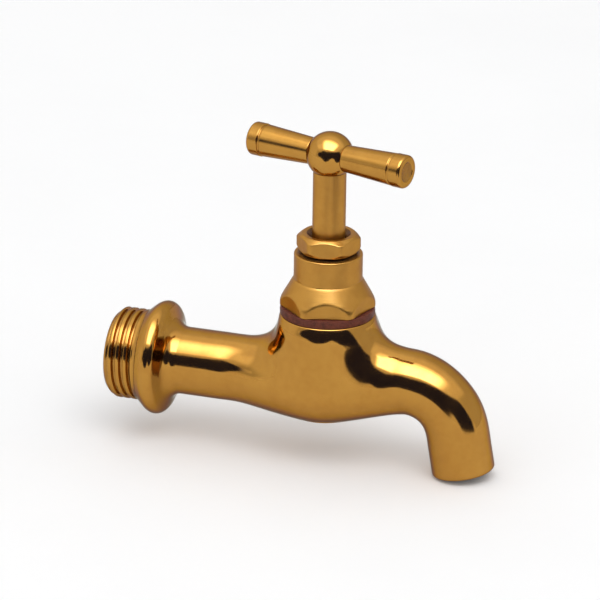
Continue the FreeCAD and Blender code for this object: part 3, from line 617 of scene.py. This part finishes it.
def thread_rings(size, angles):
    """The inlet thread: the radius swings between root and crest as x runs on and as the angle turns.

    The phase is x over the pitch less the share of the turn. The swing is a cosine whose
    top and bottom are flattened, and the first crests are cut down by the end chamfer.
    """
    crest, runout_length, chamfer, chamfer_slope = size.thread_diameter / 2, 0.7, 1.3, 0.95
    places = np.linspace(-size.tail_length, -size.shank_length, 76)
    x = places[:, None]
    swing = smooth(0.62 + 0.85 * np.cos((x / size.thread_pitch - angles / TURN) * TURN))
    runout = np.clip((-size.shank_length - x) / runout_length, 0, 1)
    radius = crest - size.thread_depth * (1 - swing) * runout
    radius = radius + (size.shank_diameter / 2 - crest) * (1 - runout)
    radius = soft_min(radius, crest - chamfer + (x + size.tail_length) * chamfer_slope, 0.25)
    # The second value darkens the thread's roots: dirt and painted shade
    return about_inlet(places, radius, angles), 0.3 * (1 - swing) * runout


def casting_grid(spine, angles):
    """All rings of the casting in one run: bore, thread, collar, barrel, bowl with its boss, spout, outlet.

    The outlet's lip and bore go back up inside the spout.
    """
    size = spine.size
    tail, bore = size.tail_length, size.inlet_bore / 2
    nose, outlet = size.nose_diameter / 2, size.outlet_bore / 2
    inner = profile([(20.0, bore), (-tail + 0.4, bore, 0.3), (-tail, bore + 0.4, 0.2),
                     (-tail, size.thread_diameter / 2 - 1.4)], 0.8)
    collar = profile([(0.0, size.shank_diameter / 2), (0.0, 11.4, 0.3), (1.5, 12.65, 3.0),
                      (3.9, size.collar_peak / 2, 2.0), (6.3, size.barrel_diameter / 2, 3.2),
                      (10.0, size.barrel_diameter / 2)], 0.4)
    lip = profile([(-LIP_HEIGHT, nose), (0.0, nose, 0.9), (0.0, outlet, 0.35), (-8.0, outlet, 0.3),
                   (-8.3, 4.6, 0.2), (-22.0, 4.6)], 0.6)
    spout_start = 52
    places = stretches(0, (spout_start, 125), (spine.total - LIP_HEIGHT, 92))[1:]
    guess = np.repeat(places[:, None], len(angles), axis=1)
    body, lid = blended(spine.rings(places, angles), guess, spine)
    thread, thread_groove = thread_rings(size, angles)
    along, radius = lip[1:].T
    parts = [about_inlet(*inner.T, angles), thread, about_inlet(*collar[1:].T, angles), body,
             spine.rings(spine.total + along, angles, radius)]
    grooves = [np.zeros(part.shape[:2]) for part in parts]
    # Painted shade: the inlet bore and the outlet's inside are darkened fully
    grooves[0][:] = 1.0
    grooves[1] = thread_groove
    grooves[4][len(along) // 3:] = 1.0
    normals = [np.zeros(part.shape) for part in parts]
    normals[3] = np.where(lid[..., None], 0.0, blend_normals(body, guess, spine))
    return np.concatenate(parts), np.concatenate(grooves), np.concatenate(normals)


# Materials

def fill(tree, target, inputs):
    """Links an input to the socket that is given for it, or else sets its plain value."""
    for key, value in inputs.items():
        if isinstance(value, bpy.types.NodeSocket):
            tree.links.new(value, target.inputs[key])
        else:
            target.inputs[key].default_value = value


def node(tree, kind, inputs=None, **settings):
    """One shader node with its settings and inputs; returns its output sockets."""
    made = tree.nodes.new("ShaderNode" + kind)
    for key, value in settings.items():
        setattr(made, key, value)
    fill(tree, made, inputs or {})
    return made.outputs


def maths(tree, first, second, operation="MULTIPLY"):
    return node(tree, "Math", {0: first, 1: second}, operation=operation)[0]


def noise(tree, vector, scale, detail, roughness):
    return node(tree, "TexNoise", {
        "Vector": vector, "Scale": scale, "Detail": detail, "Roughness": roughness})[0]


def ranged(tree, value, start, end, low=0.0, high=1.0, **settings):
    """The value between start and end as a value between low and high, held beyond them."""
    return node(tree, "MapRange", {
        "Value": value, "From Min": start, "From Max": end, "To Min": low, "To Max": high}, **settings)[0]


def mixed(tree, factor, first, second):
    return node(tree, "Mix", {"Factor": factor, "A": first, "B": second}, data_type="RGBA")["Result"]


def bumped(tree, height, distance):
    return node(tree, "Bump", {"Height": height, "Strength": 1.0, "Distance": distance})["Normal"]


def seen_by(tree, *rays):
    """1 for the named kinds of ray, 0 for all others."""
    path = node(tree, "LightPath")
    seen = path["Is " + rays[0] + " Ray"]
    for ray in rays[1:]:
        seen = maths(tree, seen, path["Is " + ray + " Ray"], "MAXIMUM")
    return seen


def opaque(value, times=1.0):
    """A colour, brightened or darkened by a factor, with full alpha."""
    return tuple(part * times for part in value) + (1.0,)


def new_material(name):
    """A material, its node tree and its object coordinates."""
    material = bpy.data.materials.new(name)
    material.use_nodes = True
    return material, material.node_tree, node(material.node_tree, "TexCoord")["Object"]


def shaded(material, inputs):
    """Fills the inputs of a material's surface shader."""
    fill(material.node_tree, material.node_tree.nodes["Principled BSDF"], inputs)
    return material


def grouped(tree, build, inputs):
    """The outputs of a group node. Its group has the builder's name and is built when it is first used.

    The builder gets the group's inputs and returns its outputs, both by name.
    """
    group = bpy.data.node_groups.get(build.__name__)
    if group is None:
        group = bpy.data.node_groups.new(build.__name__, "ShaderNodeTree")
        for key, value in inputs.items():
            kind = "Vector" if key == "Vector" else "Color" if isinstance(value, tuple) else "Float"
            group.interface.new_socket(key, in_out="INPUT", socket_type="NodeSocket" + kind)
        results = build(group, group.nodes.new("NodeGroupInput").outputs)
        for key, result in results.items():
            kind = "Color" if result.type == "RGBA" else "Float"
            group.interface.new_socket(key, in_out="OUTPUT", socket_type="NodeSocket" + kind)
        fill(group, group.nodes.new("NodeGroupOutput"), results)
    return node(tree, "Group", inputs, node_tree=group)


def uneven_colour(tree, given):
    """Soft uneven patches: two noises are multiplied and pulled apart, and mix two colours."""
    broad = noise(tree, given["Vector"], given["Size"], 3.0, 0.55)
    small = noise(tree, given["Vector"], maths(tree, given["Size"], 3.7), 4.0, 0.6)
    mask = ranged(tree, maths(tree, broad, small), 0.18, 0.36, 0.0, given["Amount"])
    return {"Color": mixed(tree, mask, given["Light"], given["Dark"]), "Mask": mask}


def stained(tree, place_of, grain, amount, light, dark):
    return grouped(tree, uneven_colour, {
        "Vector": place_of, "Size": grain, "Amount": amount, "Light": light, "Dark": dark})


def polish_marks(tree, given):
    """Height and gloss of worked brass: slow ripple, fine scratches, level turning marks and dull specks."""
    vector = given["Vector"]
    ripple = maths(tree, noise(tree, vector, 95.0, 1.5, 0.4), given["Ripple"])
    stretched = node(tree, "Mapping", {
        "Vector": vector, "Scale": (600.0, 5200.0, 2600.0), "Rotation": (0.4, 0.7, 0.3)})[0]
    scratch = noise(tree, stretched, 1.0, 2.0, 0.65)
    fine = maths(tree, maths(tree, scratch, given["Scratches"]), 0.012)
    level = node(tree, "Mapping", {"Vector": vector, "Scale": (45.0, 45.0, 2300.0)})[0]
    turned = maths(tree, noise(tree, level, 1.0, 3.0, 0.7), given["Turning"])
    haze = ranged(tree, noise(tree, vector, 260.0, 5.0, 0.65), 0.35, 0.75, 0.88, 1.5)
    gloss = maths(tree, haze, given["Gloss"])
    streak = ranged(tree, scratch, 0.55, 0.8, 0.0, 0.06)
    return {"Height": maths(tree, ripple, maths(tree, fine, turned, "ADD"), "ADD"),
            "Roughness": maths(tree, gloss, streak, "ADD")}


def edges_and_hollows(tree, given):
    """Masks of rubbed edges and of hollows for dirt and painted shade, from how sharply the surface bends."""
    bend = node(tree, "NewGeometry")["Pointiness"]
    patchy = noise(tree, given["Vector"], 420.0, 4.0, 0.6)
    edge = ranged(tree, bend, 0.52, 0.60)
    deep = maths(tree, ranged(tree, bend, 0.475, 0.40), given["Groove"], "MAXIMUM")
    return {"Edge": maths(tree, edge, patchy),
            "Hollow": maths(tree, deep, ranged(tree, patchy, 0.3, 0.7, 0.55, 1.0))}


def metal_material(name, look, light, gloss, ripple=0.0, scratches=1.0, turning=0.0):
    """Brass: uneven lacquer colour, brighter rubbed edges, hollows darkened with dirt and painted shade,
    marks of polishing or turning.
    """
    material, tree, place_of = new_material(name)
    groove = node(tree, "Attribute", attribute_name="groove")["Fac"]
    stain = stained(tree, place_of, 120.0, 0.8, opaque(light), opaque(look.brass_deep))
    masks = grouped(tree, edges_and_hollows, {"Vector": place_of, "Groove": groove})
    marks = grouped(tree, polish_marks, {
        "Vector": place_of, "Ripple": ripple, "Scratches": scratches, "Turning": turning, "Gloss": gloss})
    rubbed = mixed(tree, masks["Edge"], stain["Color"], opaque(light, 1.12))
    dirt = ranged(tree, masks["Hollow"], 0.0, 1.0, 0.0, 0.3)
    return shaded(material, {
        # Hollows, grooves and recesses take the dark colour: dirt and painted shade
        "Base Color": mixed(tree, masks["Hollow"], rubbed, opaque(look.brass_dirt_and_shade)),
        "Roughness": maths(tree, marks["Roughness"], dirt, "ADD"),
        "Normal": bumped(tree, marks["Height"], 0.00012),
        "Metallic": 1.0,
        "Specular Tint": opaque(look.brass_edge),
        "Coat Weight": look.coat,
        "Coat Roughness": max(0.06, gloss * 0.7),
    })


def dull_material(name, light, other, roughness, grain, depth):
    """Fibre, rubber or yarn: a colour and its other shade in a fine grain, matt, with a small bump."""
    material, tree, place_of = new_material(name)
    stain = stained(tree, place_of, grain, 1.0, opaque(light), opaque(light, other))
    return shaded(material, {
        "Base Color": stain["Color"],
        "Roughness": ranged(tree, stain["Mask"], 0.0, 1.0, roughness - 0.1, roughness + 0.1),
        "Normal": bumped(tree, noise(tree, place_of, grain * 9, 3.0, 0.6), depth),
        "Specular IOR Level": 0.25,
    })


def finish(context, name):
    """The finish of that name, built when it is first asked for."""
    full = name + "_finish"
    if full in bpy.data.materials:
        return bpy.data.materials[full]
    look = context.scene.bib_tap_finishes
    metals = {
        "polished_brass": {"light": look.brass, "gloss": look.gloss, "ripple": 0.2},
        "handle_brass": {"light": look.brass, "gloss": look.handle_gloss, "scratches": 2.0},
        "head_brass": {"light": look.brass, "gloss": look.head_gloss, "scratches": 1.5, "turning": 0.16},
        "turned_brass": {"light": look.turned_brass, "gloss": 0.32, "scratches": 3.0, "turning": 0.6},
    }
    if name in metals:
        return metal_material(full, look, **metals[name])
    dull = {
        "red_fibre": (look.fibre, 0.5, 0.6, 900.0, 0.00006),
        "washer_rubber": (look.rubber, 1.6, 0.6, 700.0, 0.00003),
        "packing": (look.packing, 1.8, 0.7, 500.0, 0.0001),
    }
    return dull_material(full, *dull[name])


def add_piece(context, name, points, body, slot_name, cad_node, look=None, wrap=True, **layers):
    """A new piece with its material, set on its body; the CAD node that it stands for is hidden. The slot
    name picks the material where no look is given.
    """
    piece = add_grid(name, points, wrap, **layers)
    piece.data.materials.append(finish(context, look or slot_name))
    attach(piece, body)
    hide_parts(cad_node)


# Turned pieces about the valve's axis

def head_levels(context):
    """Heights of the boss's top, the gasket's top, the bonnet's hexagon and its neck."""
    head = in_mm(context, "head")
    boss = context.scene.bib_tap_casting.boss_height / MM
    return np.cumsum([boss, head.gasket_thickness, head.bonnet_hex_height, head.bonnet_neck_height]).tolist()


def hex_piece(around, flats, turn, corner_cut, bottom, levels, envelope, rest):
    """A closed ring with a hexagonal stretch: underside, sides with turned top, then the plain rest.

    The hexagon's side lies at half the flats over the cosine of the angle from its middle, with eased
    corners. The sides are the soft lower of it and of a turned envelope.
    """
    edge = 0.22
    angles = circle(around)
    lean = np.mod(angles - turn, TURN / 6) - TURN / 12
    hexagon = soft_min(flats / 2 / np.cos(lean), flats / math.sqrt(3) - corner_cut, 0.3)
    sides = soft_min(envelope[:, None], hexagon, edge)
    shares = np.array([0.25, 0.5, 0.75, 0.95, 1.0])
    inner = rest[-1][1]
    underside = inner + (sides[0] - edge - inner) * shares[:, None]
    turns = np.linspace(0, math.pi / 2, 5)[1:]
    corner = sides[0] - edge + edge * np.sin(turns[:, None])
    return np.concatenate([
        stacked(np.full(len(shares), bottom), underside, angles),
        stacked(bottom + edge * (1 - np.cos(turns)), corner, angles),
        stacked(levels, sides, angles),
        stacked(*profile(rest, 0.6).T, angles),
    ])


class BIBTAP_OT_casting(Operator):
    """Build the casting: threaded tail, collar, bowl with its boss, and spout"""

    bl_idname = "bib_tap.casting"
    bl_label = "Casting"

    def execute(self, context):
        spine = Spine(in_mm(context, "casting"))
        points, groove, normals = casting_grid(spine, circle(AROUND))
        rim = boss_rim(spine, circle(AROUND))
        add_piece(context, "tap_casting", points, "tap", "polished_brass", "tap_body",
                  wrap=False, groove=groove, normals=normals, rim=rim)
        return {"FINISHED"}


class BIBTAP_OT_gasket(Operator):
    """Build the fibre ring: a closed section with soft edges and a slight bulge, turned about the stem"""

    bl_idname = "bib_tap.gasket"
    bl_label = "Gasket"

    def execute(self, context):
        bottom, top = head_levels(context)[:2]
        inner, outer = 8.3, context.scene.bib_tap_head.gasket_diameter / MM / 2
        outline = profile([
            (bottom, inner, 0.1), (bottom, outer - 0.12, 0.25), ((bottom + top) / 2, outer, 1.2),
            (top, outer - 0.12, 0.25), (top, inner, 0.1),
        ], 0.4, closed=True)
        add_piece(context, "fibre_gasket", turned_points(outline, 160, upright(context)),
                  "tap", "red_fibre", "bonnet_gasket")
        return {"FINISHED"}


class BIBTAP_OT_bonnet(Operator):
    """Build the bonnet: the soft lower of a hexagon and a cone, running into a round neck"""

    bl_idname = "bib_tap.bonnet"
    bl_label = "Bonnet"

    def execute(self, context):
        head = in_mm(context, "head")
        boss_top, bottom, hex_top, neck_top = head_levels(context)
        neck, drop = head.bonnet_neck / 2, head.bonnet_cone_drop
        corner = head.bonnet_flats / math.sqrt(3)
        levels = stretches(bottom + 0.25, (hex_top - drop, 4), (hex_top + 1.2, 64), (neck_top - 0.9, 9))
        cone = neck + (corner - neck) * (hex_top - levels) / drop
        envelope = soft_min(soft_max(cone, neck, 0.35), head.bonnet_corners / 2, 0.4)
        envelope = envelope - 0.13 * np.exp(-((levels - hex_top + 0.1) / 0.25) ** 2)
        thread, thread_length, packing = 8.2, 8.2, 5.4
        thread_end = boss_top - thread_length
        rest = [
            (neck_top - 0.8, neck), (neck_top, neck, 0.35), (neck_top, packing, 0.25), (hex_top, packing),
            (hex_top, STEM_HOLE), (hex_top - 1.8, STEM_HOLE), (hex_top - 1.8, 5.5), (thread_end + 3, 5.5),
            (thread_end + 3, 6.0), (thread_end, 6.0, 0.2), (thread_end, thread, 0.4),
            (thread_end + 6.8, thread, 0.2), (thread_end + 6.8, 7.4, 0.2), (bottom, 7.4),
        ]
        points = hex_piece(240, head.bonnet_flats, head.bonnet_turn, 0.12, bottom, levels, envelope, rest)
        # Painted shade: the inside of the neck is darkened
        groove = hollows(points, (neck - 0.5, hex_top, neck_top + 1))
        add_piece(context, "bonnet_body", placed(points, upright(context)),
                  "tap", "polished_brass", "bonnet", look="head_brass", groove=groove)
        return {"FINISHED"}


class BIBTAP_OT_gland(Operator):
    """Build the gland nut: a small hexagon with a turned top and a neck that leaves a dark gap below it"""

    bl_idname = "bib_tap.gland"
    bl_label = "Gland nut"

    def execute(self, context):
        head = in_mm(context, "head")
        neck_top = head_levels(context)[-1]
        bottom = neck_top + head.gland_gap
        top = bottom + head.gland_height
        corner, cone_height = head.gland_flats / math.sqrt(3), 1.2
        cone_foot = top - cone_height
        levels = stretches(bottom + 0.25, (cone_foot, 22), (top - 0.05, 18))
        cone = corner - 1.6 * (levels - cone_foot) / cone_height
        foot = corner - 0.85 + 0.9 * (levels - bottom - 0.25)
        envelope = soft_min(soft_min(cone, foot, 0.3), corner, 0.3)
        rest = [
            (top - 0.02, corner - 1.62), (top, corner - 1.72, 0.05), (top, 5.0, 0.2),
            (cone_foot, STEM_HOLE, 0.15), (neck_top - 2.6, STEM_HOLE), (neck_top - 2.6, 5.35, 0.1),
            (bottom - 1.1, 5.35, 0.1), (bottom - 1.1, 4.7, 0.1), (bottom, 4.7),
        ]
        points = hex_piece(AROUND, head.gland_flats, head.gland_turn, 0.25, bottom, levels, envelope, rest)
        # Painted shade: the recess round the stem and the hollow under the nut are darkened
        groove = hollows(points, (4.95, top - 1.5, top + 1), (5.6, bottom - 2, bottom + 0.1))
        add_piece(context, "gland_nut_body", placed(points, upright(context)),
                  "tap", "polished_brass", "gland_nut", look="head_brass", groove=groove)
        return {"FINISHED"}


class BIBTAP_OT_handle(Operator):
    """Build the T handle: a ball turned about the bar, and two tapering arms with banded, rounded ends"""

    bl_idname = "bib_tap.handle"
    bl_label = "Handle"

    def execute(self, context):
        handle = in_mm(context, "handle")
        ball, root, end, reach = (size / 2 for size in (
            handle.ball_diameter, handle.arm_root, handle.arm_end, handle.bar_length))
        stud = 1.65
        flat = math.sqrt(ball ** 2 - root ** 2)
        lean = np.linspace(-math.asin(flat / ball), math.asin(flat / ball), 96)
        bore = profile([(flat, root), (flat, stud, 0.1), (-flat, stud, 0.1), (-flat, root)], 0.8)[1:-1]
        outline = np.concatenate([stack(ball * np.sin(lean), ball * np.cos(lean)), bore])
        add_piece(context, "handle_ball_body", turned_points(outline, 160, along_bar(context, 1)),
                  "spindle", "polished_brass", "handle_ball")
        band, neck = reach - handle.band_width, end - 0.32
        arm = profile([
            (flat + 5.5, 0.5), (flat + 5.5, stud), (flat, stud, 0.1), (flat, root, 0.12),
            (band - 0.6, end - 0.12, 0.2), (band - 0.45, neck, 0.12), (band - 0.1, neck, 0.12),
            (band, end, 0.2), (reach, end, 0.7), (reach, end - 1.4, 0.3), (reach - 0.2, end - 1.75, 0.3),
            (reach - 0.25, 0.3),
        ], 0.5)
        local = turned_points(arm, 128, Matrix.Identity(4))
        # Painted shade: the recess in each arm's end face is darkened
        groove = 0.45 * hollows(local, (end - 1.65, reach - 0.8, reach - 0.1))
        for name, side, cad_node in (("arm_right", 1, "near_handle_arm"), ("arm_left", -1, "far_handle_arm")):
            add_piece(context, name, placed(local, along_bar(context, side)),
                      "spindle", "polished_brass", cad_node, look="handle_brass", wrap=False, groove=groove)
        return {"FINISHED"}


class BIBTAP_OT_finishes(Operator):
    """Give every CAD node that stays its own material"""

    bl_idname = "bib_tap.finishes"
    bl_label = "Finishes of kept nodes"

    def execute(self, context):
        slots = {part["node"]: part["material_slot"] for part in frame["record"]["subparts"]}
        for name, item in frame["nodes"].items():
            item.data.materials.clear()
            item.data.materials.append(finish(context, "head_brass" if name == "spindle" else slots[name]))
        return {"FINISHED"}


# Stage

def add_camera(context):
    """The camera of the photo: azimuth, height, tilt, distance and lens were fitted to its outlines."""
    azimuth, height, roll = (math.radians(item) for item in (18.581, 20.897, 0.889))
    distance, pixels_per_mm, centre, picture = 1458.3, 4.447, (310.001, 298.724), 600
    target = Vector((38.0, 0.0, 19.0)) * MM
    data = bpy.data.cameras.new("camera")
    data.sensor_width = 36.0
    data.lens = pixels_per_mm * distance * data.sensor_width / picture
    data.shift_x = (picture / 2 - centre[0]) / picture
    data.shift_y = (centre[1] - picture / 2) / picture
    data.clip_start, data.clip_end = 0.05, 20.0
    data.dof.use_dof = False
    camera = add_object("camera", data)
    turn = (Matrix.Rotation(azimuth, 4, "Z") @ Matrix.Rotation(math.pi / 2 - height, 4, "X")
            @ Matrix.Rotation(roll, 4, "Z"))
    camera.matrix_world = Matrix.Translation(target) @ turn @ Matrix.Translation((0, 0, distance * MM))
    context.scene.camera = camera


def add_key_lamp(context):
    """A large soft lamp overhead in front, which doesn't show in the metal."""
    data = bpy.data.lights.new("key", "AREA")
    data.shape = "RECTANGLE"
    data.size, data.size_y = 2.4, 1.8
    data.energy = context.scene.bib_tap_stage.key_power
    lamp = add_object("key", data)
    stand, target = Vector((0.95, -1.5, 2.6)), Vector((0.04, 0.0, 0.0))
    turn = (stand - target).normalized().to_track_quat("Z", "Y")
    lamp.matrix_world = Matrix.Translation(stand) @ turn.to_matrix().to_4x4()
    lamp.visible_glossy = False


def white_world(context):
    """White to the camera and in metal and glass, greyer at the right and behind; plain light otherwise."""
    world = bpy.data.worlds.new("studio")
    world.use_nodes = True
    tree = world.node_tree
    seen = seen_by(tree, "Camera", "Glossy", "Transmission")
    way = node(tree, "TexCoord")["Generated"]
    along = node(tree, "VectorMath", {0: way, 1: (0.75, 0.66, 0.0)}, operation="DOT_PRODUCT")["Value"]
    fill(tree, tree.nodes["Background"], {
        "Color": ranged(tree, along, -0.1, 0.7, 1.0, 0.74, interpolation_type="SMOOTHSTEP"),
        "Strength": ranged(tree, seen, 0.0, 1.0, context.scene.bib_tap_stage.room_light, 1.0),
    })
    context.scene.world = world


def card_material(name, dim, tint, strength):
    """Light of a card by the sheet's own glow values: strength and colour run from dim to full."""
    material = bpy.data.materials.new(name)
    material.use_nodes = True
    tree = material.node_tree
    tree.nodes.clear()
    glow = node(tree, "Attribute", attribute_name="glow")["Fac"]
    light = node(tree, "Emission", {"Color": mixed(tree, glow, opaque(dim), opaque(tint)),
                                    "Strength": maths(tree, glow, strength)})
    node(tree, "OutputMaterial", {"Surface": light[0]})
    return material


def add_card(name, points, glow, dim, tint, strength=1.0):
    """A sheet that only shows in the metal: no camera sees it, and it casts no shadow and no light."""
    faces = grid_faces(*glow.shape, wrap_columns=False)
    card = add_mesh(name, points.reshape(-1, 3), faces, "glow", glow.reshape(-1))
    card.data.materials.append(card_material(name, dim, tint, strength))
    for ray in ("camera", "diffuse", "shadow", "transmission", "volume_scatter"):
        setattr(card, "visible_" + ray, False)


def window(value, start, end, soft):
    """One inside start..end and nought outside, with a smooth slope of the given width at each side."""
    return smooth((value - start) / soft + 0.5) * smooth((end - value) / soft + 0.5)


def ways(azimuth, height, far):
    """Points at a distance from the casting's middle, along directions given in degrees."""
    azimuth, height = np.radians(azimuth), np.radians(height)
    way = stack(np.sin(azimuth) * np.cos(height), -np.cos(azimuth) * np.cos(height), np.sin(height))
    return np.array([42.0, 0.0, 12.0]) + way * np.asarray(far)[..., None]


def add_softbox(strength):
    """The bright panel overhead in front, with a weaker patch at its left and a faint halo."""
    x, y = np.meshgrid(np.linspace(-1.4, 1.5, 88), np.linspace(-1.45, 0.75, 74))
    core = window(x, -0.47, 0.8, 0.5) ** 2 * window(y, -1.04, -0.1, 0.14 + 0.41 * (y > -0.5))
    left = window(x, -1.3, -0.5, 0.45) * window(y, -0.9, -0.3, 0.2)
    halo = window(x, -1.3, 1.4, 0.5) * window(y, -1.1, 0.5, 0.3)
    base = 1 / strength
    glow = base + 0.035 * halo + (1 - base) * np.maximum(core, 0.04 * left)
    panel = stack(42 + 1000 * x, 1000 * y, 1012)
    add_card("softbox", panel, glow, WHITE, (0.62, 0.70, 1.0), strength)


def add_flags(strength):
    """Two dark flags behind the camera. Their glow rises to that of the white room over a soft border.

    The wide flag's lower and upper edges are splines over the azimuth, and it stops short of the floor.
    """
    far, floor_drop = 800.0, 29.0
    azimuth = np.linspace(-50, 92, 190)
    bottom = spline((-50, -44, -36, -28, -20, -13, -4, 5, 13, 20, 28, 35, 43, 53, 64, 76, 92),
                    (13, 9, 5, 3, -1, -5, -7, -6, -4, 0, 5, 1, -6, -9, -8, -7, -6), azimuth)
    top = spline((-50, -44, -36, -28, -20, -10, 10, 40, 60, 72, 80, 92),
                 (17, 22, 27, 32, 37, 36, 36, 34, 32, 26, 12, 2), azimuth)
    height = bottom + (top - bottom) * np.linspace(0, 1, 40)[:, None]
    floor_reach = floor_drop / np.maximum(np.sin(np.radians(-height)), 0.01)
    flag = ways(azimuth, height, np.where(height < 0, np.minimum(far, floor_reach), far))
    dark = (window(azimuth, -45, 84, 6) * window(height - bottom, 0.7, 99, 1.4)
            * window(top - height, 1.2, 99, 2.4))
    add_card("flag", flag, 1 - (1 - strength) * dark, (0.1, 0.13, 1.0), WHITE)
    azimuth, height = np.linspace(-60, -25, 48), np.linspace(2, 31, 40)[:, None]
    dark = window(azimuth, -54, -10, 10) * window(azimuth, -99, -30, 6) * window(height, 4, 27, 5)
    add_card("half_flag", ways(azimuth, height, far + 10), 1 - 0.35 * dark, WHITE, WHITE)


def add_floor(context):
    """A wide round plate under the tap: its edge turns under, and its underside lies 20 mm lower.

    It is pale and matt with a very faint grain, lifted towards white where camera or metal sees it.
    """
    low = CAD_BOX[0][2] / MM - 0.05
    outline = np.array([(low - 20, 3.0), (low - 20, 1400.0), (low - 4, 1410.0), (low, 1400.0),
                        (low, 300.0), (low, 3.0)])
    floor = add_grid("floor", turned_points(outline, 96, upright(context)))
    material, tree, place_of = new_material("floor")
    colour_of = context.scene.bib_tap_stage.floor
    floor.data.materials.append(shaded(material, {
        "Base Color": stained(tree, place_of, 6.0, 1.0, opaque(colour_of), opaque(colour_of, 0.985))["Color"],
        "Roughness": 0.9,
        "Specular IOR Level": 0.1,
        "Emission Color": opaque(WHITE),
        "Emission Strength": maths(tree, seen_by(tree, "Camera", "Glossy"), 0.045),
    }))


class BIBTAP_OT_stage(Operator):
    """Set up floor, light and the camera at the photo's angle"""

    bl_idname = "bib_tap.stage"
    bl_label = "Stage"

    def execute(self, context):
        stage = context.scene.bib_tap_stage
        add_camera(context)
        white_world(context)
        add_floor(context)
        add_softbox(stage.panel_strength)
        add_flags(stage.flag_strength)
        add_key_lamp(context)
        context.scene.view_settings.view_transform = "Standard"
        return {"FINISHED"}


class BIBTAP_PT_panel(Panel):
    """All the tap's operators and settings"""

    bl_label = "Bib tap"
    bl_idname = "BIBTAP_PT_panel"
    bl_space_type = "VIEW_3D"
    bl_region_type = "UI"
    bl_category = "Bib tap"

    def draw(self, context):
        layout = self.layout
        for operator in OPERATORS:
            layout.operator(operator.bl_idname)
        for key, group in GROUPS.items():
            box = layout.box()
            for name in group.__annotations__:
                box.prop(getattr(context.scene, key), name)


GROUPS = {
    "bib_tap_casting": CastingSizes,
    "bib_tap_head": HeadworkSizes,
    "bib_tap_handle": HandleSizes,
    "bib_tap_finishes": Finishes,
    "bib_tap_stage": StageSettings,
}
OPERATORS = (BIBTAP_OT_casting, BIBTAP_OT_gasket, BIBTAP_OT_bonnet, BIBTAP_OT_gland, BIBTAP_OT_handle,
             BIBTAP_OT_finishes, BIBTAP_OT_stage)
CLASSES = tuple(GROUPS.values()) + OPERATORS + (BIBTAP_PT_panel,)


def register():
    for item in CLASSES:
        bpy.utils.register_class(item)
    for key, group in GROUPS.items():
        setattr(bpy.types.Scene, key, PointerProperty(type=group))


def unregister():
    for key in GROUPS:
        delattr(bpy.types.Scene, key)
    for item in reversed(CLASSES):
        bpy.utils.unregister_class(item)


def main():
    register()
    for operator in OPERATORS:
        group, name = operator.bl_idname.split(".")
        getattr(getattr(bpy.ops, group), name)()


if __name__ == "__main__":
    main()
